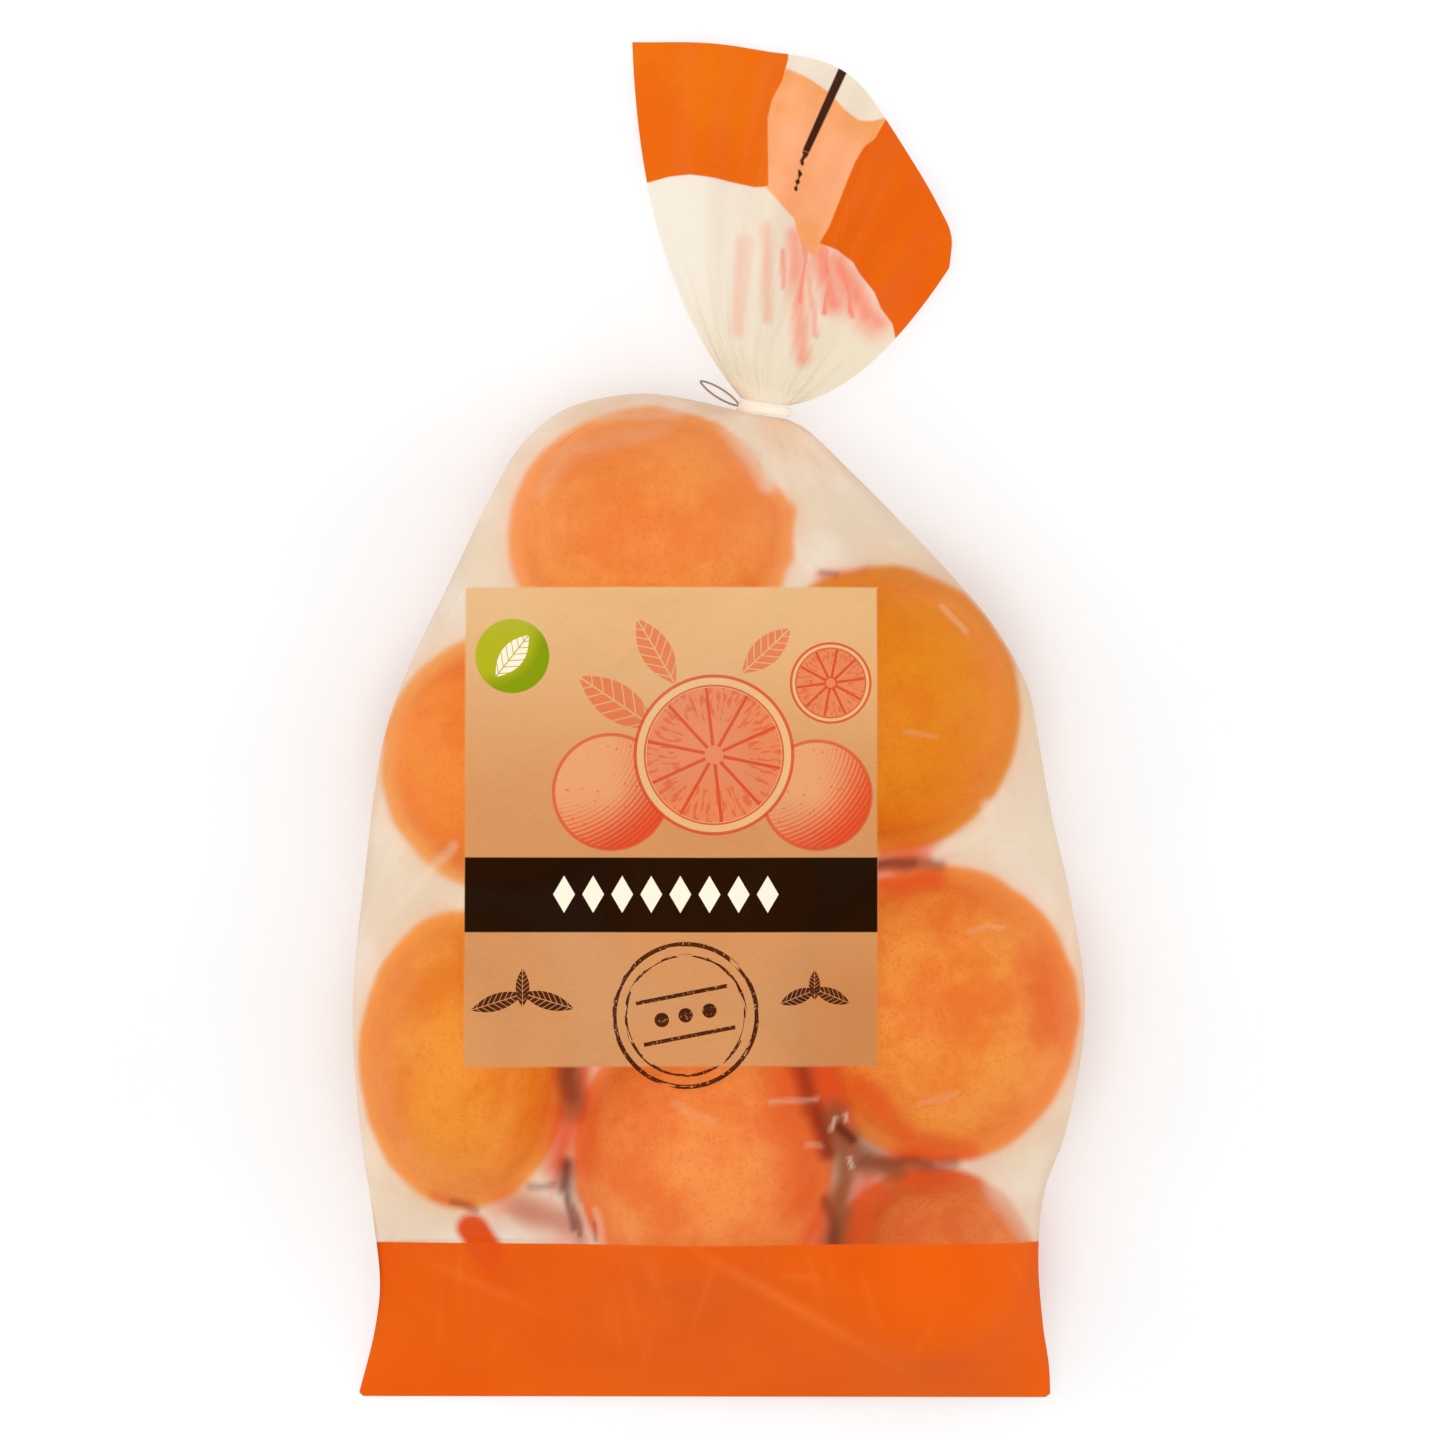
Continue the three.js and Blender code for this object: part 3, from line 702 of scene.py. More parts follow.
def film_tints(piece, x, y, haze):
    """Lays the strokes of painted shade, of milk with painted highlights, and the tongue
    over the haze. Cover grows to 1 - (1 - cover)(1 - strength), and a stroke's share of
    the colour is its strength / cover. The reddish painted shade also fills the crevices
    low down, where the second nearest fruit is within a few mm."""
    _, second = fruit_distances(x, y)
    low_right = smooth(x, -52, -44) * (1 - smooth(y, -29, -23)) * (1 - smooth(x, 46, 62))
    crevice = 0.92 * (1 - smooth(second, 3.0, 9.5)) * low_right
    bent_x = x + 0.18 * waves(x, y, 9, 71)
    bent_y = y + 0.18 * waves(x, y, 9, 72)
    cover = haze
    # dark is the painted shade of the deepest crevices; milk is milky film and painted highlights.
    for name, lines in (("crevice_shade", CREVICE_SHADE_STROKES), ("hollow_shade", HOLLOW_SHADE_STROKES), ("dark", DEEP_SHADE_STROKES),
                        ("milk", MILK_AND_HIGHLIGHT_STROKES), ("tongue", TONGUE)):
        strength = strokes(bent_x, bent_y, lines, 0.55 if name == "tongue" else 0.0)
        if name == "crevice_shade":
            strength = np.maximum(strength, crevice)
        cover = 1 - (1 - cover) * (1 - strength)
        keep(piece, name, strength / np.maximum(cover, 0.01))
    keep(piece, "haze", cover)


def front_film():
    """The upper film: the stretched face, with folds from the neck, creases where it
    is slack, soft unevenness and the weld's ribs, kept clear of the fruit."""
    x, y, z, inside = film_face(1, FRONT_COLUMNS)
    touch = side_touch(x, y, z)
    push = fruit_push(x, y, 1, 0)
    lift = np.minimum(z - push, 30)
    slack = smooth(lift, 1.3, 3.5)
    rng = np.random.default_rng(11)
    folds = 0.6 * neck_folds(x, y, 11, 3, 40, 5) + 0.35 * neck_folds(x, y, 6, 16, 84, 8)
    lines = bridging_creases(rng) + side_creases(rng) + band_creases(rng)
    creases = np.minimum(ridges(x, y, lines + LOW_CREASES + TOP_CREASES), HIGHEST_CREASE)
    uneven = 0.16 * waves(x, y, 26, 3) + 0.07 * waves(x, y, 8, 4)
    detail = folds * (0.2 + 0.8 * slack) + creases * (0.15 + 0.85 * slack) + uneven * slack
    z = z + inside * detail
    z += seam_ribs(y) * np.minimum(1, 6 * roundness(across_steps(FRONT_COLUMNS)))
    z[1:] = np.maximum(z[1:], push[1:] + LEAST_CLEARANCE)
    piece = sheet_piece("film_front", np.dstack([x + SHIFT[0], y + SHIFT[1], z]))
    marks = np.clip(folds * 0.5 + creases * 1.4, 0, 1) * inside
    keep(piece, "crease", marks)
    film_tints(piece, x, y, film_haze(x, y, lift, marks, FRONT_MILK))
    fruit_glow(piece, x, y)
    keep(piece, "touch", touch)
    # Material numbers: 0 bare, 1 with the drawing, 2 with the lower label, 3 with the band.
    left, right, bottom, top = LABEL_REACH
    in_label = (x > left) & (x < right) & (y > bottom) & (y < top)
    number = np.where(in_label, np.where(y > LABEL_SPLIT, 1, 2), 0) + np.where(y < BAND_REACH, 3, 0)
    piece.data.polygons.foreach_set("material_index", number[:-1, :-1].astype(np.int32).ravel())
    return piece


def back_film():
    """The lower film, pressed flat on the ground, with creases where it is lifted."""
    x, y, z, inside = film_face(-1, BACK_COLUMNS)
    touch = side_touch(x, y, z)
    rng = np.random.default_rng(23)
    folds = 0.75 * neck_folds(x, y, 12, 3, 46, 15) + 0.6 * neck_folds(x, y, 7, 14, 80, 18)
    creases = np.minimum(ridges(x, y, side_creases(rng) + band_creases(rng)), HIGHEST_CREASE)
    raised = smooth(z, 0.4, 5)
    z = z - inside * raised * (folds + creases + 0.15 * waves(x, y, 24, 13))
    z += seam_ribs(y) * np.minimum(1, 6 * roundness(across_steps(BACK_COLUMNS)))
    z[1:-1, 1:-1] = np.maximum(z[1:-1, 1:-1], 0)
    piece = sheet_piece("film_back", np.dstack([x + SHIFT[0], y + SHIFT[1], z]), flipped=True)
    marks = np.clip(folds + creases, 0, 1) * inside
    keep(piece, "crease", marks)
    haze = film_haze(x, y, np.full(x.shape, 6.0), marks, BACK_MILK)
    keep(piece, "haze", np.clip(haze + 0.06, 0, 0.95))
    fruit_glow(piece, x, y)
    keep(piece, "touch", touch)
    return piece


# ---- The skirt ----

def skirt_film(name, face, columns):
    """One film of the open end: rays from the half-round neck bend out to the rim as
    quadratic Bezier curves. They carry broad pleats, a sunken panel between two folds
    on the front, and fine sharp pleats that die out half-way to the rim."""
    across = across_steps(columns)
    turn = turn_of(across)[None, :]
    round_off = roundness(across)[None, :]
    share = np.linspace(0, 1, SKIRT_ROWS + 1)[:, None]
    start = (NECK + NECK_HALF_LENGTH * ALONG)[None, None, :2] + (
        (2 * across - 1)[None, :, None] * NECK_RADIUS * ACROSS[:2])
    rim = at_share(smooth_curve(SKIRT_RIM), turn[0])[None]
    bend = lerp(np.array(SKIRT_LEFT_BEND), np.array(SKIRT_RIGHT_BEND), turn[0][:, None])[None]
    s = share[:, :, None]
    plan = (1 - s) ** 2 * start + 2 * s * (1 - s) * bend + s**2 * rim
    x, y = plan[..., 0], plan[..., 1]
    middle = lerp(NECK[2], RIM_HEIGHT + RIM_ARCH * round_off, smooth(share, 0, 0.9))
    half = lerp(NECK_RADIUS, 0.5 * RIM_THICKNESS, smooth(share, 0, 0.5)) * round_off
    z = middle + face * half + SKIRT_PLEAT_DEPTH * pleat(across) * smooth(share, 0.05, 0.8)
    seed = 31 if face > 0 else 41
    edge = np.minimum(1, 5 * round_off)
    bent_turn = turn + 0.012 * waves(share * 60, turn * 60, 30, seed)
    fine = (1 - abs(np.sin(math.pi * 11 * bent_turn))) ** 2 * (1 - smooth(share, 0.25, 0.75))
    finer = (1 - abs(np.sin(math.pi * 19 * bent_turn + 1))) ** 2 * (1 - smooth(share, 0.1, 0.4))
    fine_depth = smooth(share, 0.02, 0.15)
    z = z + face * edge * fine_depth * (0.9 * fine + 0.55 * finer)
    z = z + edge * 0.25 * waves(x, y, 22, seed + 1) * smooth(share, 0.2, 0.6)
    if face > 0:
        falls, rises = SUNKEN_TURNS
        sunken = smooth(turn, *falls) * (1 - smooth(turn, *rises))
        z = z - SUNKEN_DEPTH * sunken * smooth(share, 0.35, 0.75)
    piece = sheet_piece(name, np.dstack([x + SHIFT[0], y + SHIFT[1], z]), flipped=face < 0)
    near, streak = gathered(x, y, 20, seed + 3)
    haze = 0.66 + 0.10 * fine * fine_depth + near * (0.10 + 0.14 * streak)
    keep(piece, "haze", np.clip(haze, 0, 0.95))
    rays = 0.5 + 0.3 * waves(turn * 150, share * 9, 9, seed + 5)
    keep(piece, "blush", strokes(x + rays, y, BLUSH_STROKES) * np.clip(0.8 + 0.4 * rays, 0, 1))
    keep(piece, "panel", np.maximum(polygon_distance(x, y, LEFT_PANEL),
                                    polygon_distance(x, y, RIGHT_PANEL)))
    keep(piece, "peach", polygon_distance(x, y, SUNKEN_PANEL))
    frayed = polygon_distance(x, y, LINE_TAIL) - 0.5 * abs(waves(x, y, 3.5, seed + 6))
    keep(piece, "line", np.maximum(polygon_distance(x, y, LINE), frayed))
    return piece


# ---- Fruit ----

def contact_shade(name, x, y):
    """How close another fruit is in plan, for the painted shade where fruit meet: 1 at its outline, 0
    from 7 mm away.
    """
    away = np.full(x.shape, 100.0)
    for other, (middle, half, _, _) in FRUIT.items():
        if other not in (name, "mandarin_middle"):
            away = np.minimum(away, plan_distance(middle, half, x, y))
    return 1 - smooth(away, 0.5, 7)


PEEL_RINGS, PEEL_AROUND = 110, 176
# Relief of the peel, as shares of the radius.
LUMPS, FURROWS, DIMPLE, EYE, CALYX, KNOB = 0.022, 0.016, 0.060, 0.022, 0.016, 0.018


def fruit_piece(name, seed):
    """One mandarin: a unit ball of rings about its stem, closest together there, times
    its three half-widths. Soft lumps, a dimple with furrows and a calyx button at the stem, and
    a shallow eye at the far end only take from the radius, so the film stays clear."""
    middle, half, lift, stem = FRUIT[name]
    rings, around = PEEL_RINGS, PEEL_AROUND
    polar = math.pi * np.linspace(0, 1, rings + 1) ** 1.25
    angle = 2 * math.pi * np.arange(around) / around
    a, b = polar[:, None], angle[None, :]
    axis = np.array(stem) / np.linalg.norm(stem)
    helper = np.array([0.0, 1.0, 0.0]) if abs(axis[1]) < 0.7 else np.array([1.0, 0.0, 0.0])
    side = np.cross(helper, axis)
    side /= np.linalg.norm(side)
    other = np.cross(axis, side)
    unit = (np.sin(a) * np.cos(b))[..., None] * side + (np.sin(a) * np.sin(b))[..., None] * other
    unit = unit + np.cos(a)[..., None] * axis
    rng = np.random.default_rng(seed)
    lumps = np.zeros(unit.shape[:2])
    for _ in range(14):
        way = rng.normal(0, 1, 3)
        way /= np.linalg.norm(way)
        lumps += np.sin(rng.uniform(2.5, 9.0) * (unit @ way) + rng.uniform(0, 6.3))
    lumps = np.clip(0.5 + 0.16 * lumps, 0, 1)
    furrow = (0.5 - 0.5 * np.cos(9 * b + 1.5 * np.sin(2 * b))) * np.exp(-((a - 0.36) / 0.22) ** 2)
    dimple = np.exp(-((a / 0.24) ** 2))
    eye = np.exp(-(((math.pi - a) / 0.10) ** 2))
    star = 0.105 + 0.030 * np.cos(5 * b)
    calyx = 1 - smooth(a, star - 0.012, star + 0.006)
    knob = 1 - smooth(a, 0.030, 0.045)
    radius = (1 - LUMPS * lumps - FURROWS * furrow - DIMPLE * dimple - EYE * eye
              + CALYX * calyx + KNOB * knob)
    points = unit * radius[..., None] * np.array(half)
    points = points + np.array([middle[0] + SHIFT[0], middle[1] + SHIFT[1], lift + half[2]])
    vertices = np.vstack([points[0, :1], points[1:-1].reshape(-1, 3), points[-1, :1]])
    count = rings - 1
    ring = 1 + np.arange(count * around).reshape(count, around)
    after = np.roll(ring, -1, axis=1)
    quads = np.stack([ring[:-1], ring[1:], after[1:], after[:-1]], axis=-1).reshape(-1, 4)
    last = len(vertices) - 1
    top = np.stack([np.zeros(around, int), ring[0], after[0]], axis=1)
    bottom = np.stack([np.full(around, last), after[-1], ring[-1]], axis=1)
    piece = mesh_piece(name, vertices, quads, np.vstack([top, bottom]))

    def per_vertex(field):
        """The field's values in the order of the vertices, each pole once."""
        field = np.broadcast_to(field, (rings + 1, around))
        return np.concatenate([field[0, :1], field[1:-1].ravel(), field[-1, :1]])

    keep(piece, "calyx", per_vertex(calyx))
    keep(piece, "stem_reach", per_vertex(np.exp(-((a / 0.55) ** 2))))
    # Where the peel faces sideways: painted lighter there, against its shading.
    keep(piece, "painted_light_flank", per_vertex(1 - smooth(unit[..., 2], 0.15, 0.85)))
    # Painted shade, deeper and redder, where another fruit lies close.
    keep(piece, "contact_shade", contact_shade(name, vertices[:, 0] - SHIFT[0], vertices[:, 1] - SHIFT[1]))
    return piece


# ---- Tie ----

TIE_RADIUS, TIE_OVERLAP = 6.42, 0.34     # of the first turn, and how much wider the next is
TIE_STRIP, LOOP_STRIP = (1.9, 0.24), (1.5, 0.5)       # width and thickness
STRIP_AROUND, TURN_STEPS, LOOP_STEPS = 12, 150, 96    # points round a strip and along it
LOOP_SWING = math.radians(148)           # the way that the loop points
LOOP_REACH, LOOP_SWELL = 5.6, 1.15       # half its length, and half its width


def strip(name, path, width_way, thick_way, size, closed=False):
    """A flat strip carried along a path: at each point a rounded rectangle, the
    oval |w|^4 + |t|^4 = 1, spans the two given directions."""
    width, thickness = size
    turn = 2 * math.pi * np.arange(STRIP_AROUND) / STRIP_AROUND
    c, s = np.cos(turn), np.sin(turn)
    oval_w = np.sign(c) * abs(c) ** 0.5
    oval_t = np.sign(s) * abs(s) ** 0.5
    section = (0.5 * width * oval_w[None, :, None] * width_way[:, None]
               + 0.5 * thickness * oval_t[None, :, None] * thick_way[:, None])
    points = path[:, None] + section
    steps, around = points.shape[:2]
    number = np.arange(steps * around).reshape(steps, around)
    if closed:
        number = np.vstack([number, number[:1]])
    after = np.roll(number, -1, axis=1)
    quads = np.stack([number[:-1], after[:-1], after[1:], number[1:]], axis=-1).reshape(-1, 4)
    vertices = points.reshape(-1, 3)
    if closed:
        return mesh_piece(name, vertices, quads)
    count = len(vertices)
    vertices = np.vstack([vertices, path[:1], path[-1:]])
    start = np.stack([np.full(around, count), after[0], number[0]], axis=1)
    end = np.stack([np.full(around, count + 1), number[-1], after[-1]], axis=1)
    return mesh_piece(name, vertices, quads, np.vstack([start, end]))


def tie_turns():
    """The strip wound one and a half times round the neck, each turn on the last."""
    angle = np.linspace(-0.15 * math.pi, 3.1 * math.pi, TURN_STEPS)
    rise = TIE_RADIUS + TIE_OVERLAP * smooth(angle, 1.2 * math.pi, 2.2 * math.pi)
    slip = 0.35 * np.sin(angle * 0.5)
    radial = np.cos(angle)[:, None] * ACROSS + np.sin(angle)[:, None] * UP
    path = NECK + rise[:, None] * radial + slip[:, None] * ALONG
    path[:, :2] += SHIFT
    return strip("neck_tie_turns", path, np.broadcast_to(ALONG, radial.shape), radial, TIE_STRIP)


def tie_loop():
    """The free end of the strip, bent back to itself as a thin pointed loop."""
    out = np.array([math.cos(LOOP_SWING), math.sin(LOOP_SWING), 0.0])
    aside = np.array([-out[1], out[0], 0.0])
    t = np.linspace(0, 2 * math.pi, LOOP_STEPS, endpoint=False)
    reach = LOOP_REACH * (1 - np.cos(t))
    swell = LOOP_SWELL * np.sin(t) * (0.55 + 0.45 * abs(np.sin(t)))
    base = NECK - 6.4 * ACROSS + np.array([SHIFT[0], SHIFT[1], 1.5])
    path = base + reach[:, None] * out + swell[:, None] * aside
    tangent = np.roll(path, -1, axis=0) - np.roll(path, 1, axis=0)
    tangent /= np.linalg.norm(tangent, axis=1)[:, None]
    width_way = np.broadcast_to(UP, path.shape)
    thick_way = np.cross(tangent, width_way)
    return strip("neck_tie_loop", path, width_way, thick_way, LOOP_STRIP, closed=True)


# ---- Node graphs ----

def paint(red, green, blue):
    """A display colour, 0 to 255, as the linear colour that shaders take."""
    def channel(value):
        """The display curve turned round: share / 12.92, or a power of 2.4."""
        share = value / 255
        return share / 12.92 if share <= 0.04045 else ((share + 0.055) / 1.055) ** 2.4
    return (channel(red), channel(green), channel(blue), 1.0)


class Graph:
    """Puts nodes into one tree. A value may be a number, a colour or a socket."""

    def __init__(self, tree):
        self.tree = tree

    def put(self, socket, value):
        """Links a socket to another one, or sets its number or colour."""
        if isinstance(value, bpy.types.NodeSocket):
            self.tree.links.new(value, socket)
        else:
            socket.default_value = value

    def node(self, kind, inputs=None, **settings):
        """A new node with its settings and inputs."""
        made = self.tree.nodes.new(kind)
        for name, value in settings.items():
            setattr(made, name, value)
        for name, value in (inputs or {}).items():
            self.put(made.inputs[name], value)
        return made

    def math(self, operation, *values):
        """One Math node; the methods after it are its common operations in words."""
        made = self.node("ShaderNodeMath", operation=operation)
        for socket, value in zip(made.inputs, values):
            self.put(socket, value)
        return made.outputs[0]

    def plus(self, a, b):
        """a + b"""
        return self.math("ADD", a, b)

    def minus(self, a, b):
        """a - b"""
        return self.math("SUBTRACT", a, b)

    def times(self, a, b):
        """a * b"""
        return self.math("MULTIPLY", a, b)

    def ratio(self, a, b):
        """a / b"""
        return self.math("DIVIDE", a, b)

    def size(self, a):
        """|a|"""
        return self.math("ABSOLUTE", a)

    def most(self, a, b):
        """The greater of a and b."""
        return self.math("MAXIMUM", a, b)

    def least(self, a, b):
        """The lesser of a and b."""
        return self.math("MINIMUM", a, b)

    def below(self, a, b):
        """1 where a < b, and 0 elsewhere."""
        return self.math("LESS_THAN", a, b)

    def above(self, a, b):
        """1 where a > b, and 0 elsewhere."""
        return self.math("GREATER_THAN", a, b)

    def offsets(self, x, y, middle_x, middle_y):
        """x and y from a middle, and the distance: sqrt(dx^2 + dy^2)."""
        dx, dy = self.minus(x, middle_x), self.minus(y, middle_y)
        return dx, dy, self.math("SQRT", self.plus(self.times(dx, dx), self.times(dy, dy)))

    def step(self, value, low, high, kind="SMOOTHSTEP"):
        """0 at low and 1 at high, or the other way round when low is above high."""
        turned = low > high
        made = self.node("ShaderNodeMapRange", {
            "Value": value, "From Min": min(low, high), "From Max": max(low, high),
            "To Min": 1.0 if turned else 0.0, "To Max": 0.0 if turned else 1.0,
        }, interpolation_type=kind)
        return made.outputs[0]

    def mix(self, share, first, second):
        """first + share * (second - first) for colours."""
        made = self.node("ShaderNodeMix", data_type="RGBA")
        self.put(made.inputs[0], share)
        self.put(made.inputs[6], first)
        self.put(made.inputs[7], second)
        return made.outputs[2]

    def blend(self, share, first, second):
        """first + share * (second - first) for plain numbers."""
        made = self.node("ShaderNodeMix", data_type="FLOAT")
        self.put(made.inputs[0], share)
        self.put(made.inputs[2], first)
        self.put(made.inputs[3], second)
        return made.outputs[0]

    def noise(self, vector, scale, detail=3.0, roughness=0.55):
        """Soft noise, about 0.5."""
        return self.node("ShaderNodeTexNoise", {
            "Vector": vector, "Scale": scale, "Detail": detail, "Roughness": roughness,
        }).outputs["Fac"]

    def attribute(self, name):
        """A value that keep() put on the piece."""
        return self.node("ShaderNodeAttribute", attribute_name=name).outputs["Fac"]

    def place(self, group, **values):
        """Puts a node group in and sets its inputs; underscores stand for spaces."""
        made = self.node("ShaderNodeGroup", node_tree=group)
        for name, value in values.items():
            self.put(made.inputs[name.replace("_", " ")], value)
        return made.outputs

    def position(self):
        """Object position in mm: the whole vector, x and y."""
        place = self.node("ShaderNodeTexCoord").outputs["Object"]
        scaled = self.node("ShaderNodeVectorMath", {0: place, 1: (1 / MM,) * 3}, operation="MULTIPLY")
        parts = self.node("ShaderNodeSeparateXYZ", {0: scaled.outputs[0]}).outputs
        return scaled.outputs[0], parts[0], parts[1]


def node_group(name, inputs, outputs):
    """An empty node group with float or vector inputs and float outputs."""
    tree = bpy.data.node_groups.new(name, "ShaderNodeTree")
    for label, kind in inputs.items():
        tree.interface.new_socket(name=label, in_out="INPUT", socket_type=kind)
    for label in outputs:
        tree.interface.new_socket(name=label, in_out="OUTPUT", socket_type="NodeSocketFloat")
    graph = Graph(tree)
    return graph, graph.node("NodeGroupInput").outputs, graph.node("NodeGroupOutput").inputs


FLOAT, VECTOR = "NodeSocketFloat", "NodeSocketVector"


def box_mask_group():
    """1 inside a rectangle and 0 outside, by the distance to its nearest side."""
    g, given, out = node_group("box mask", {
        "X": FLOAT, "Y": FLOAT, "Left": FLOAT, "Right": FLOAT, "Bottom": FLOAT, "Top": FLOAT,
        "Blur": FLOAT}, ["Mask"])
    sideways = g.least(g.minus(given["X"], given["Left"]), g.minus(given["Right"], given["X"]))
    upright = g.least(g.minus(given["Y"], given["Bottom"]), g.minus(given["Top"], given["Y"]))
    inside = g.ratio(g.least(sideways, upright), given["Blur"])
    clamp = g.node("ShaderNodeClamp", {0: g.plus(inside, 0.5)})
    g.put(out["Mask"], clamp.outputs[0])
    return g.tree


def crinkle_group():
    """Heights of the film's fine crinkle: soft noise with creased tops, 1 - |2n - 1|."""
    g, given, out = node_group("film crinkle", {"Place": VECTOR, "Scale": FLOAT}, ["Height"])
    soft = g.noise(given["Place"], g.times(given["Scale"], 0.16), 2.0)
    creased = g.size(g.minus(g.times(soft, 2.0), 1.0))
    g.put(out["Height"], g.minus(1.0, creased))
    return g.tree


def ink_group():
    """How much ink a printed spot holds: nearly all, less in fine specks and in
    broad soft patches."""
    g, given, out = node_group("printed ink", {"Place": VECTOR}, ["Ink", "Patch"])
    specks = g.step(g.noise(given["Place"], 1.6, 2.0), 0.24, 0.36)
    patch = g.step(g.noise(given["Place"], 0.045, 3.0), 0.3, 0.7)
    g.put(out["Ink"], g.blend(specks, 0.95, 1.0))
    g.put(out["Patch"], patch)
    return g.tree


def wheel_group():
    """Line drawing of a cut fruit: two rind circles, walls between ten segments, and
    broken pulp strokes. Wash is the whole disc, and Ink the lines."""
    g, given, out = node_group("citrus wheel", {
        "X": FLOAT, "Y": FLOAT, "Middle X": FLOAT, "Middle Y": FLOAT, "Radius": FLOAT,
        "Turn": FLOAT, "Line": FLOAT}, ["Ink", "Wash", "Flesh"])
    dx, dy, reach = g.offsets(given["X"], given["Y"], given["Middle X"], given["Middle Y"])
    share = g.ratio(reach, given["Radius"])
    angle = g.plus(g.math("ARCTAN2", dy, dx), given["Turn"])

    def circle(at, thickness):
        """A circle line at a share of the radius."""
        off = g.size(g.minus(reach, g.times(given["Radius"], at)))
        return g.below(off, g.times(given["Line"], thickness))

    wall = g.times(g.size(g.math("SINE", g.times(angle, 5.0))), g.times(reach, 0.2))
    in_flesh = g.times(g.above(share, 0.12), g.below(share, 0.86))
    walls = g.times(g.below(wall, g.times(given["Line"], 0.9)), in_flesh)
    place = g.node("ShaderNodeCombineXYZ", {0: g.times(angle, 14.0), 1: g.times(share, 5.0)})
    pulp = g.above(g.noise(place.outputs[0], 1.0, 1.0), 0.56)
    pulp = g.times(pulp, g.times(in_flesh, g.above(share, 0.45)))
    ink = g.most(g.most(circle(1.0, 0.9), circle(0.88, 0.55)), walls)
    g.put(out["Ink"], g.most(ink, g.times(pulp, 0.55)))
    g.put(out["Wash"], g.below(share, 1.0))
    g.put(out["Flesh"], g.below(share, 0.86))
    return g.tree


def ball_group():
    """Line drawing of a whole fruit: an outline, and curved hatching that thickens
    towards the lower right, with stippled pores."""
    g, given, out = node_group("hatched ball", {
        "X": FLOAT, "Y": FLOAT, "Middle X": FLOAT, "Middle Y": FLOAT, "Radius": FLOAT,
        "Line": FLOAT}, ["Ink", "Wash", "Shade"])
    dx, dy, reach = g.offsets(given["X"], given["Y"], given["Middle X"], given["Middle Y"])
    share = g.ratio(reach, given["Radius"])
    inside = g.below(share, 1.0)
    outline = g.below(g.size(g.minus(reach, given["Radius"])), given["Line"])
    slant = g.ratio(g.minus(dx, dy), given["Radius"])
    shade = g.step(g.plus(g.times(slant, 0.5), g.times(share, 0.5)), -0.1, 1.15)
    shade = g.times(shade, inside)
    far = g.times(given["Radius"], 1.1)
    _, _, arc = g.offsets(dx, dy, g.times(far, -1.0), far)
    saw = g.math("FRACT", g.times(arc, 0.95))
    hatch = g.times(g.below(saw, g.times(shade, 0.75)), inside)
    place = g.node("ShaderNodeCombineXYZ", {0: dx, 1: dy}).outputs[0]
    cells = g.node("ShaderNodeTexVoronoi", {"Vector": place, "Scale": 0.55}).outputs["Distance"]
    dots = g.times(g.below(cells, 0.16), inside)
    g.put(out["Ink"], g.most(outline, g.most(hatch, g.times(dots, 0.8))))
    g.put(out["Wash"], inside)
    g.put(out["Shade"], shade)
    return g.tree


def leaf_group():
    """A pointed leaf: |across| below width * (1 - (along / length)^2), with a midrib
    and slanting side veins left bare."""
    g, given, out = node_group("leaf", {
        "X": FLOAT, "Y": FLOAT, "Middle X": FLOAT, "Middle Y": FLOAT, "Length": FLOAT,
        "Width": FLOAT, "Turn": FLOAT}, ["Blade", "Vein"])
    dx, dy, _ = g.offsets(given["X"], given["Y"], given["Middle X"], given["Middle Y"])
    c, s = g.math("COSINE", given["Turn"]), g.math("SINE", given["Turn"])
    along = g.plus(g.times(dx, c), g.times(dy, s))
    across = g.minus(g.times(dy, c), g.times(dx, s))
    share = g.ratio(along, given["Length"])
    room = g.times(given["Width"], g.minus(1.0, g.times(share, share)))
    off = g.size(across)
    blade = g.below(off, room)
    rib = g.below(off, g.times(given["Width"], 0.05))
    slanted = g.ratio(g.minus(along, g.times(off, 0.9)), given["Width"])
    veins = g.above(g.math("SINE", g.times(slanted, 9.0)), 0.90)
    g.put(out["Blade"], blade)
    g.put(out["Vein"], g.times(g.most(rib, veins), blade))
    return g.tree


def peel_group():
    """Citrus peel: Height with pits about a millimetre apart, Pit where they are, and
    a soft Mottle of riper and paler patches."""
    g, given, out = node_group("citrus peel", {"Place": VECTOR, "Seed": FLOAT},
                               ["Height", "Pit", "Mottle"])
    away = g.node("ShaderNodeCombineXYZ", {0: given["Seed"]}).outputs[0]
    moved = g.node("ShaderNodeVectorMath", {0: given["Place"], 1: away}, operation="ADD").outputs[0]
    cells = g.node("ShaderNodeTexVoronoi", {"Vector": moved, "Scale": 0.78, "Randomness": 0.9})
    pit = g.step(cells.outputs["Distance"], 0.42, 0.08)
    broad = g.noise(moved, 0.05, 1.0, 0.55)
    small = g.noise(moved, 0.22, 2.0, 0.6)
    g.put(out["Height"], g.minus(g.times(small, 0.8), g.times(pit, 0.5)))
    g.put(out["Pit"], pit)
    g.put(out["Mottle"], g.step(g.plus(g.times(broad, 0.65), g.times(small, 0.35)), 0.34, 0.66))
    return g.tree


BOX_MASK, CRINKLE, INK = box_mask_group(), crinkle_group(), ink_group()
WHEEL, BALL, LEAF, PEEL = wheel_group(), ball_group(), leaf_group(), peel_group()

# ---- Colours ----

CLEAR_FILM = paint(234, 221, 197)
PALE_FILM = paint(241, 234, 217)
MILKY = paint(237, 228, 213)
SKIRT_CREAM = paint(232, 216, 194)
BAND_ORANGE = paint(228, 94, 16)
BAND_DEEP = paint(222, 86, 12)
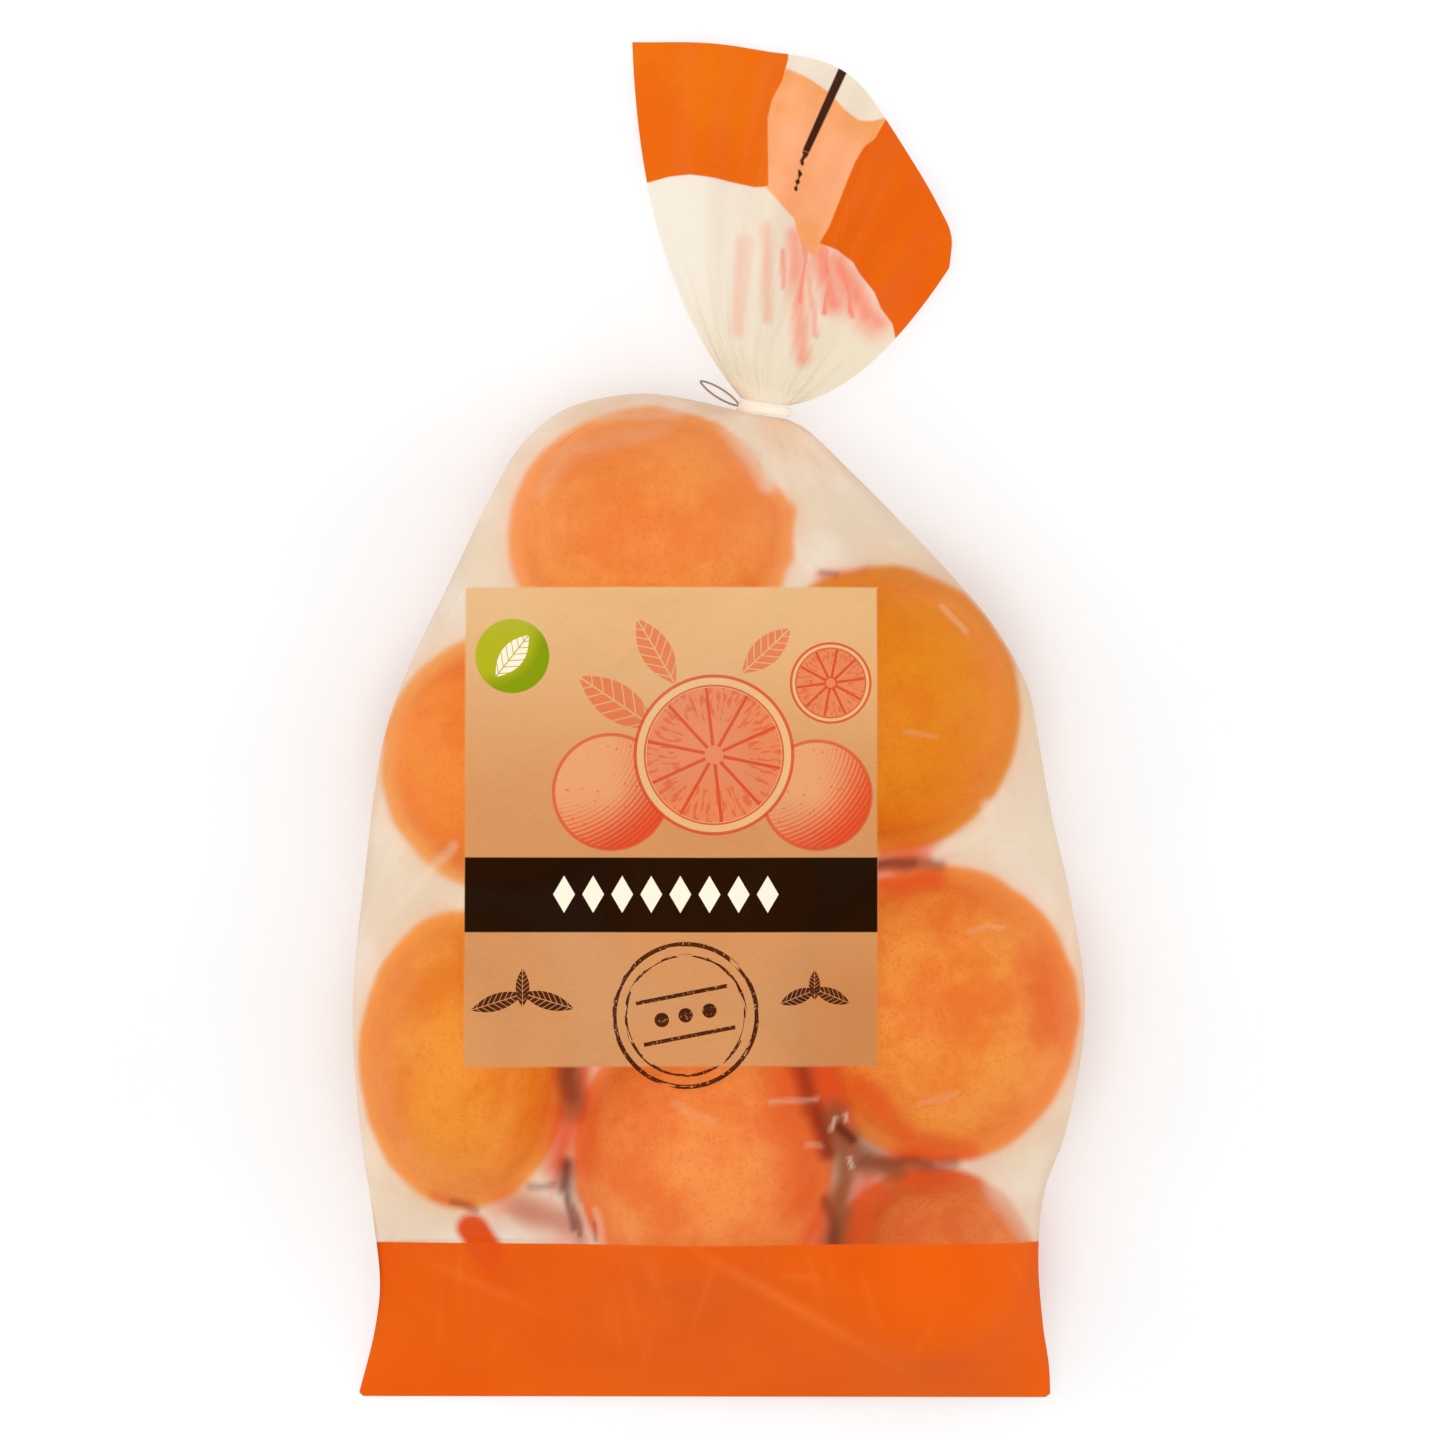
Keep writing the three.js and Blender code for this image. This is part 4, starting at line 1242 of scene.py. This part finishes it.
# Painted highlight on the band's creases.
BAND_CREASE_HIGHLIGHT = paint(250, 138, 62)
TONGUE_RED = paint(224, 82, 18)
PANEL_LEFT = paint(228, 112, 18)
PANEL_RIGHT = paint(224, 100, 14)
PEACH = paint(246, 173, 127)
KRAFT = paint(226, 184, 132)
KRAFT_DEEP = paint(200, 137, 86)
KRAFT_DARK = paint(184, 115, 65)
BAR_BROWN = paint(30, 14, 4)
INK_RED = paint(219, 78, 40)
INK_DEEP_RED = paint(206, 62, 34)
INK_BROWN = paint(62, 28, 14)
CREAM = paint(246, 236, 216)
LEAF_GREEN = paint(122, 150, 12)
LEAF_LIGHT = paint(172, 174, 30)
# Painted shade in the film: reddish in crevices, grey-brown in hollows, dark in the deepest.
CREVICE_SHADE = paint(224, 86, 36)
HOLLOW_SHADE = paint(142, 84, 52)
DEEP_SHADE = paint(104, 38, 28)
BLUSH = paint(238, 132, 106)
PEACH_DEEP = paint(234, 155, 88)
# Painted light: the lighter colour laid on the fruit's sides against their shading.
PEEL_FLANK_LIGHT = paint(248, 142, 60)
# Painted shade where fruit meet.
PEEL_CONTACT_SHADE = paint(202, 52, 16)
# Painted shade in the peel's pits.
PEEL_PIT_SHADE = paint(200, 80, 10)
PEEL_BY_STEM = paint(214, 150, 40)
CALYX_GREEN = paint(104, 104, 40)
# Painted reddish shade in the film over narrow crevices.
PAINTED_CREVICE_RED = paint(238, 88, 40)
# Painted shade: the dark look of a clear strip seen edge on.
LOOP_EDGE_ON_SHADE = paint(150, 128, 104)
NECK_TAN = paint(230, 217, 191)

# Each fruit's ripe and pale peel, and its glow painted into the film over its edge.
PEELS = {
    "mandarin_top": (paint(226, 120, 48), paint(232, 140, 64), paint(246, 166, 98)),
    "mandarin_upper_left": (paint(224, 112, 32), paint(230, 130, 46), paint(240, 170, 92)),
    "mandarin_upper_right": (paint(213, 112, 8), paint(217, 127, 16), paint(226, 144, 48)),
    "mandarin_lower_left": (paint(221, 118, 26), paint(229, 139, 46), paint(244, 162, 72)),
    "mandarin_lower_right": (paint(220, 110, 34), paint(230, 140, 56), paint(242, 150, 70)),
    "mandarin_bottom": (paint(224, 110, 44), paint(232, 136, 66), paint(242, 134, 72)),
    "mandarin_bottom_right": (paint(208, 98, 44), paint(218, 122, 62), paint(220, 120, 66)),
    "mandarin_middle": (paint(230, 108, 20), paint(236, 130, 38), paint(244, 128, 52)),
}


# ---- Materials ----

# Share of the unprinted film's coat that passes light on: far from fruit, and how much
# more right over it.
THIN_FAR, THIN_RISE = 0.18, 0.12
LIGHT_PASSED = 0.8                       # share of soft light that any film lets through
BARE_SLANT, PRINTED_SLANT = 0.014, 0.006  # how soon gloss shows as film turns away
TOUCH_CLEARS = 0.86                      # share of the haze that goes where film lies on a side
CRINKLE_RELIEF, PIT_RELIEF = 0.0006, 0.0004   # heights in metres
# Cover of the inks: of a drawing's lines, of the paper colour laid under them, and of
# marks, leaves and stamp.
LINE_INK, GROUND_INK, MARK_INK = 0.92, 0.88, 0.95


def new_material(name):
    """An empty material and the graph of its nodes."""
    material = bpy.data.materials.new(name)
    material.use_nodes = True
    material.node_tree.nodes.clear()
    return material, Graph(material.node_tree)


def finish_film(graph, colour, cover, height, roughness, slant=BARE_SLANT, thin=0.0):
    """Film: coat colour by its cover over clear, with a gloss that grows at a slant.
    Thin is the share of the coat that passes light on to what lies under it."""
    normal = graph.node("ShaderNodeBump", {
        "Strength": 0.35, "Distance": CRINKLE_RELIEF, "Height": height}).outputs[0]
    ink = graph.node("ShaderNodeBsdfPrincipled", {
        "Base Color": colour, "Roughness": roughness, "Specular IOR Level": 0.0, "Normal": normal})
    passed = graph.node("ShaderNodeBsdfTranslucent", {"Color": colour, "Normal": normal})
    body = graph.node("ShaderNodeMixShader", {0: thin, 1: ink.outputs[0], 2: passed.outputs[0]})
    clear = graph.node("ShaderNodeBsdfTransparent")
    coat = graph.node("ShaderNodeMixShader", {0: cover, 1: clear.outputs[0], 2: body.outputs[0]})
    gloss = graph.node("ShaderNodeBsdfGlossy", {"Roughness": 0.16, "Normal": normal})
    facing = graph.node("ShaderNodeLayerWeight", {"Blend": slant}).outputs["Facing"]
    whole = graph.node("ShaderNodeMixShader", {0: facing, 1: coat.outputs[0], 2: gloss.outputs[0]})
    rays = graph.node("ShaderNodeLightPath").outputs
    soft = graph.most(rays["Is Shadow Ray"], rays["Is Diffuse Ray"])
    lit = graph.node("ShaderNodeMixShader", {
        0: graph.times(soft, LIGHT_PASSED), 1: whole.outputs[0], 2: clear.outputs[0]})
    graph.node("ShaderNodeOutputMaterial", {"Surface": lit.outputs[0]})


def over(graph, below, mask, colour, cover):
    """Lays a printed field over (colour, cover) by its mask."""
    return graph.mix(mask, below[0], colour), graph.blend(mask, below[1], cover)


def leaf_mask(graph, x, y, leaf):
    """A leaf's blade without its veins, by its middle, length, width and turn."""
    mx, my, length, width, turn = leaf
    made = graph.place(LEAF, X=x, Y=y, Middle_X=mx, Middle_Y=my, Length=length, Width=width,
                       Turn=turn)
    return graph.minus(made["Blade"], made["Vein"])


def box(graph, x, y, sides, blur):
    """A rectangle by its left, right, bottom and top."""
    left, right, bottom, top = sides
    return graph.place(BOX_MASK, X=x, Y=y, Left=left, Right=right, Bottom=bottom, Top=top,
                       Blur=blur)["Mask"]


def art_print(graph, x, y, film):
    """Drawing on the label: leaves, two whole fruit, and a small and a large cut one."""
    for leaf in DRAWN_LEAVES:
        blade = graph.times(leaf_mask(graph, x, y, leaf), 0.62)
        film = over(graph, film, blade, INK_RED, LINE_INK)
    for mx, my, radius in DRAWN_BALLS:
        ball = graph.place(BALL, X=x, Y=y, Middle_X=mx, Middle_Y=my, Radius=radius, Line=0.42)
        film = over(graph, film, graph.times(ball["Wash"], 0.9), KRAFT, GROUND_INK)
        wash = graph.times(ball["Wash"], graph.blend(ball["Shade"], 0.30, 0.95))
        film = over(graph, film, wash, INK_RED, LINE_INK)
        film = over(graph, film, graph.times(ball["Ink"], 0.7), INK_DEEP_RED, LINE_INK)
    for mx, my, radius, turn, line in DRAWN_WHEELS:
        cut = graph.place(WHEEL, X=x, Y=y, Middle_X=mx, Middle_Y=my, Radius=radius, Turn=turn,
                          Line=line)
        film = over(graph, film, graph.times(cut["Wash"], 0.95), KRAFT, GROUND_INK)
        film = over(graph, film, graph.times(cut["Flesh"], 0.62), INK_RED, LINE_INK)
        film = over(graph, film, graph.times(cut["Ink"], 0.85), INK_DEEP_RED, LINE_INK)
    return film


def stamp_mask(graph, x, y, place):
    """A worn double ring with two tilted bars and three dots between them."""
    dx, dy, reach = graph.offsets(x, y, *STAMP_MIDDLE)
    outer, inner = (graph.below(graph.size(graph.minus(reach, radius)), line)
                    for radius, line in zip(STAMP_RADII, STAMP_LINES))
    turn = graph.times(graph.math("ARCTAN2", dy, dx), 2.2)
    worn = graph.node("ShaderNodeCombineXYZ", {0: turn, 1: reach}).outputs[0]
    outer = graph.times(outer, graph.above(graph.noise(worn, 0.9, 2.0), 0.40))
    inner = graph.times(inner, graph.above(graph.noise(worn, 1.3, 2.0), 0.47))
    c, s = math.cos(STAMP_TILT), math.sin(STAMP_TILT)
    along = graph.plus(graph.times(dx, c), graph.times(dy, s))
    aside = graph.minus(graph.times(dy, c), graph.times(dx, s))
    off, line, length = STAMP_BARS
    bar = graph.size(graph.minus(graph.size(aside), off))
    bars = graph.times(graph.below(bar, line), graph.below(graph.size(along), length))
    step, radius_squared, row_reach = STAMP_DOTS
    near = graph.math("PINGPONG", graph.plus(along, 2 * step), step)
    dot = graph.plus(graph.times(near, near), graph.times(aside, aside))
    row = graph.below(graph.size(along), row_reach)
    dots = graph.times(graph.below(dot, radius_squared), row)
    mark = graph.most(graph.most(outer, inner), graph.most(bars, dots))
    return graph.times(mark, graph.step(graph.noise(place, 1.4, 3.0), 0.28, 0.42))


def paper_print(graph, place, x, y, film):
    """The brown paper field, and its mask."""
    field = box(graph, x, y, LABEL, 0.7)
    # Fibres along x. The paper darkens downwards, and most in its lower right corner.
    fibre = graph.node("ShaderNodeMapping", {"Vector": place, "Scale": (0.5, 2.6, 1.0)}).outputs[0]
    grain = graph.step(graph.noise(fibre, 0.9, 3.0, 0.7), 0.3, 0.7)
    lower = graph.step(y, 34.0, -26.0)
    tone = graph.plus(graph.times(grain, 0.15), graph.times(lower, 0.8))
    corner = graph.times(graph.step(x, 4.0, 34.0), graph.step(y, -44.0, -72.0))
    paper = graph.mix(tone, KRAFT, KRAFT_DEEP)
    paper = graph.mix(graph.times(corner, 0.6), paper, KRAFT_DARK)
    return over(graph, film, field, paper, graph.blend(grain, 0.90, 0.94)), field


def disc_print(graph, x, y, film):
    """A round green mark with a pale leaf."""
    mx, my, radius = MARK
    disc = graph.place(BALL, X=x, Y=y, Middle_X=mx, Middle_Y=my, Radius=radius, Line=0.1)
    green = graph.mix(graph.step(disc["Shade"], 0.1, 0.8), LEAF_LIGHT, LEAF_GREEN)
    film = over(graph, film, disc["Wash"], green, MARK_INK)
    leaf = leaf_mask(graph, x, y, (mx, my, *MARK_LEAF))
    return over(graph, film, leaf, CREAM, MARK_INK)


def lower_print(graph, place, x, y, film):
    """The dark bar with its row of diamonds, two sprigs and the stamp."""
    film = over(graph, film, box(graph, x, y, BAR, 0.25), BAR_BROWN, 0.99)
    near = graph.math("PINGPONG", graph.minus(x, DIAMOND_FIRST[0]), DIAMOND_HALF_STEP)
    height = graph.size(graph.minus(y, DIAMOND_FIRST[1]))
    width_share, height_share = (
        graph.ratio(off, half) for off, half in zip((near, height), DIAMOND_HALF))
    diamond = graph.below(graph.plus(width_share, height_share), 1.0)
    film = over(graph, film, graph.times(diamond, box(graph, x, y, DIAMONDS, 0.2)), CREAM, 0.97)
    for leaf in SPRIG_LEAVES:
        film = over(graph, film, leaf_mask(graph, x, y, leaf), INK_BROWN, MARK_INK)
    return over(graph, film, stamp_mask(graph, x, y, place), INK_BROWN, MARK_INK)


def band_print(graph, place, y, film):
    """The opaque orange field along the bottom, and its mask."""
    ink = graph.place(INK, Place=place)
    field = graph.step(y, BAND_TOP - 0.15, BAND_TOP + 0.15, "LINEAR")
    field = graph.minus(1.0, field)
    colour = graph.mix(graph.times(ink["Patch"], 0.6), BAND_ORANGE, BAND_DEEP)
    # Paler along the creases: a painted highlight.
    colour = graph.mix(graph.times(graph.attribute("crease"), 0.4), colour, BAND_CREASE_HIGHLIGHT)
    colour = graph.mix(graph.attribute("tongue"), colour, TONGUE_RED)
    return over(graph, film, field, colour, graph.times(ink["Ink"], 0.995)), field


def outline_place(graph):
    """The place in mm, and x and y from the outline's own zero."""
    place, x, y = graph.position()
    return place, graph.minus(x, float(SHIFT[0])), graph.minus(y, float(SHIFT[1]))


def bare_film(graph, place):
    """Unprinted film, in cream with paler patches, with the fruits' glow painted in near
    them. Where its side lies against a fruit it is clear head on, and milky again at a slant."""
    patch = graph.step(graph.noise(place, 0.035, 2.0), 0.42, 0.62)
    glow = graph.node("ShaderNodeAttribute", attribute_name="glow").outputs["Color"]
    colour = graph.mix(graph.attribute("warm"), graph.mix(patch, CLEAR_FILM, PALE_FILM), glow)
    facing = graph.node("ShaderNodeLayerWeight", {"Blend": 0.5}).outputs["Facing"]
    head_on = graph.times(graph.step(facing, 0.5, 0.2), graph.attribute("touch"))
    thinned = graph.minus(1.0, graph.times(head_on, TOUCH_CLEARS))
    return colour, graph.times(graph.attribute("haze"), thinned)


def tinted_film(graph, place):
    """Unprinted film with its strokes of painted shade, milk and painted highlight."""
    colour, cover = bare_film(graph, place)
    for name, tint in (("crevice_shade", CREVICE_SHADE), ("hollow_shade", HOLLOW_SHADE), ("dark", DEEP_SHADE), ("milk", CLEAR_FILM),
                       ("tongue", TONGUE_RED)):
        colour = graph.mix(graph.attribute(name), colour, tint)
    return colour, cover


def thinness(graph, field):
    """Share of the coat that passes light on: none of it in a printed field."""
    bare = graph.math("MULTIPLY_ADD", graph.attribute("warm"), THIN_RISE, THIN_FAR)
    return graph.blend(field, bare, 0.0)


def film_front_materials():
    """The upper film in four fields: bare, with the drawing, with the lower part of
    the label, and with the band."""
    made = []
    for name in ("clear film", "film with drawing", "film with lower label", "film with band"):
        material, graph = new_material(name)
        place, x, y = outline_place(graph)
        film, field = tinted_film(graph, place), 0.0
        if name == "film with band":
            film, field = band_print(graph, place, y, film)
        elif name != "clear film":
            film, field = paper_print(graph, place, x, y, film)
        if name == "film with drawing":
            film = disc_print(graph, x, y, art_print(graph, x, y, film))
        elif name == "film with lower label":
            film = lower_print(graph, place, x, y, film)
        crinkle = graph.place(CRINKLE, Place=place, Scale=1.0)["Height"]
        slant = BARE_SLANT if name == "clear film" else PRINTED_SLANT
        finish_film(graph, film[0], film[1], crinkle, 0.42, slant, thinness(graph, field))
        made.append(material)
    return made


def film_back_material():
    """The lower film: bare, with the band."""
    material, graph = new_material("backing film")
    place, _, y = outline_place(graph)
    film, field = band_print(graph, place, y, bare_film(graph, place))
    crinkle = graph.place(CRINKLE, Place=place, Scale=1.0)["Height"]
    finish_film(graph, film[0], film[1], crinkle, 0.45, thin=thinness(graph, field))
    return material


def skirt_material(name):
    """Milky film with orange panels, a paler sunken panel, a dark line and blushes."""
    material, graph = new_material(name)
    place, x, y = outline_place(graph)
    milk = graph.mix(graph.step(x, -16.0, 20.0), MILKY, SKIRT_CREAM)
    milk = graph.mix(graph.step(y, 112.0, 78.0), milk, NECK_TAN)
    blush = graph.attribute("blush")
    film = graph.mix(blush, milk, BLUSH), graph.blend(blush, graph.attribute("haze"), 0.96)
    ink = graph.place(INK, Place=place)
    peach = graph.step(graph.attribute("peach"), -1.1, -0.3)
    film = over(graph, film, peach, graph.mix(ink["Patch"], PEACH, PEACH_DEEP), 0.9)
    line = graph.step(graph.attribute("line"), -0.2, 0.2)
    film = over(graph, film, line, INK_BROWN, 0.96)
    panel = graph.step(graph.attribute("panel"), -0.2, 0.2)
    orange = graph.mix(graph.step(x, 18.0, 26.0), PANEL_LEFT, PANEL_RIGHT)
    orange = graph.mix(graph.times(ink["Patch"], 0.5), orange, BAND_DEEP)
    film = over(graph, film, panel, orange, graph.times(ink["Ink"], 0.98))
    crinkle = graph.place(CRINKLE, Place=place, Scale=1.2)["Height"]
    finish_film(graph, film[0], film[1], crinkle, 0.42)
    return material


def peel_material(name, ripe, pale, seed):
    """Waxy citrus peel with pits, mottling, and a green-brown calyx at the stem. Its sides are
    painted lighter against their shading; it has painted shade, deeper and redder, where other fruit
    lie close, and painted shade in its pits.
    """
    material, graph = new_material(name)
    place = graph.position()[0]
    peel = graph.place(PEEL, Place=place, Seed=float(seed * 37))
    colour = graph.mix(peel["Mottle"], ripe, pale)
    # Painted shade in the pits, over their bump relief.
    pit_shade = graph.mix(0.35, ripe, PEEL_PIT_SHADE)
    colour = graph.mix(graph.times(peel["Pit"], 0.35), colour, pit_shade)
    # Painted light on the fruit's sides.
    colour = graph.mix(graph.times(graph.attribute("painted_light_flank"), 0.5), colour, PEEL_FLANK_LIGHT)
    # Painted shade where another fruit lies close.
    colour = graph.mix(graph.times(graph.attribute("contact_shade"), 0.85), colour, PEEL_CONTACT_SHADE)
    colour = graph.mix(graph.times(graph.attribute("stem_reach"), 0.45), colour, PEEL_BY_STEM)
    colour = graph.mix(graph.attribute("calyx"), colour, CALYX_GREEN)
    normal = graph.node("ShaderNodeBump", {
        "Strength": 0.5, "Distance": PIT_RELIEF, "Height": peel["Height"]}).outputs[0]
    roughness = graph.blend(peel["Mottle"], 0.36, 0.48)
    skin = graph.node("ShaderNodeBsdfPrincipled", {
        "Base Color": colour, "Roughness": roughness, "IOR": 1.42, "Normal": normal,
        "Specular IOR Level": 0.14})
    graph.node("ShaderNodeOutputMaterial", {"Surface": skin.outputs[0]})
    return material


def tie_material(name, colour):
    """Clear strip, more opaque along its crinkles."""
    material, graph = new_material(name)
    place = graph.position()[0]
    crinkle = graph.place(CRINKLE, Place=place, Scale=5.0)["Height"]
    cover = graph.blend(graph.step(crinkle, 0.4, 0.8), 0.55, 0.8)
    finish_film(graph, colour, cover, crinkle, 0.35)
    return material


# ---- Pieces ----

def dress(piece, material, node):
    """Gives a piece its material, and says what it stands for."""
    piece.data.materials.append(material)
    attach(piece, "root")
    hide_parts(node)


front = front_film()
bare, *printed = film_front_materials()
dress(front, bare, "bag")
for printed_film in printed:
    front.data.materials.append(printed_film)
dress(back_film(), film_back_material(), "bag")
dress(skirt_film("skirt_front", 1, FRONT_COLUMNS), skirt_material("printed skirt film"), "bag")
dress(skirt_film("skirt_back", -1, BACK_COLUMNS), skirt_material("skirt backing film"), "bag")

for number, (name, (ripe, pale, _)) in enumerate(PEELS.items()):
    peel = peel_material(f"peel {number + 1}", ripe, pale, number)
    dress(fruit_piece(name, 50 + number), peel, "bag")

dress(tie_turns(), tie_material("clear tie strip", CREAM), "neck_tie")
# The loop is painted brown as painted shade, the dark look of clear film seen edge on.
dress(tie_loop(), tie_material("tie strip seen edge on", LOOP_EDGE_ON_SHADE), "neck_tie")


# ---- Stage, light and camera ----

FLOOR_SIDE, FLOOR_DROP = 8000.0, 0.05    # mm: half its side, and how far it lies below zero
FLOOR_PAINT, FLOOR_PALE = paint(241, 247, 251), paint(245, 251, 254)
DAYLIGHT, DAYLIGHT_STRENGTH = (1.0, 0.99, 0.97), 0.74
# Square lights: name, place in metres, side in metres, power in watts and colour.
LIGHTS = [
    ("overhead light", (-0.15, -0.15, 2.35), 1.5, 18.0, DAYLIGHT),
    ("left light", (-1.7, 0.3, 0.9), 1.2, 6.0, (1.0, 1.0, 1.0)),
    ("right light", (1.7, 0.0, 0.9), 1.2, 6.0, (1.0, 1.0, 1.0)),
]
LIT_POINT = Vector((0, 0, 0.03))
VIEW_WIDTH, VIEW_PLANE, VIEW_DISTANCE = 0.36, 0.018, 4.0       # m
VIEW_DROP = 0.375                        # mm that the view's middle lies below the outline's
FILM_LAYERS = 16                         # see-through surfaces that a ray may pass


def floor():
    """A wide pale floor, a little under the bag so that the two don't touch."""
    corners = [(x * FLOOR_SIDE, y * FLOOR_SIDE, -FLOOR_DROP)
               for x, y in ((-1, -1), (1, -1), (1, 1), (-1, 1))]
    piece = mesh_piece("floor", np.array(corners), np.array([[0, 1, 2, 3]]))
    material, graph = new_material("pale floor")
    tone = graph.mix(graph.noise(graph.position()[0], 0.02, 3.0), FLOOR_PAINT, FLOOR_PALE)
    shader = graph.node("ShaderNodeBsdfPrincipled", {"Base Color": tone, "Roughness": 0.8})
    graph.node("ShaderNodeOutputMaterial", {"Surface": shader.outputs[0]})
    piece.data.materials.append(material)


def soft_light(name, place, size, power, colour):
    """A square area light at a place in metres, aimed at the middle of the bag."""
    data = bpy.data.lights.new(name, "AREA")
    data.size = size
    data.energy = power
    data.color = colour
    lamp = bpy.data.objects.new(name, data)
    lamp.location = place
    lamp.rotation_euler = (LIT_POINT - Vector(place)).to_track_quat("-Z", "Y").to_euler()
    bpy.context.scene.collection.objects.link(lamp)


def studio():
    """Even daylight all round, and the soft lights."""
    world = bpy.data.worlds.new("studio")
    world.use_nodes = True
    background = world.node_tree.nodes["Background"]
    background.inputs["Color"].default_value = (*DAYLIGHT, 1.0)
    background.inputs["Strength"].default_value = DAYLIGHT_STRENGTH
    scene = bpy.context.scene
    scene.world = world
    for light in LIGHTS:
        soft_light(*light)
    scene.view_settings.view_transform = "Standard"
    scene.cycles.transparent_max_bounces = FILM_LAYERS


def camera():
    """Straight down from VIEW_DISTANCE, and VIEW_WIDTH wide at the height VIEW_PLANE."""
    data = bpy.data.cameras.new("camera")
    data.sensor_width = 36.0
    data.lens = data.sensor_width * VIEW_DISTANCE / VIEW_WIDTH
    data.clip_end = 50.0
    eye = bpy.data.objects.new("camera", data)
    eye.location = (SHIFT[0] * MM, (SHIFT[1] - VIEW_DROP) * MM, VIEW_PLANE + VIEW_DISTANCE)
    bpy.context.scene.collection.objects.link(eye)
    bpy.context.scene.camera = eye


floor()
studio()
camera()
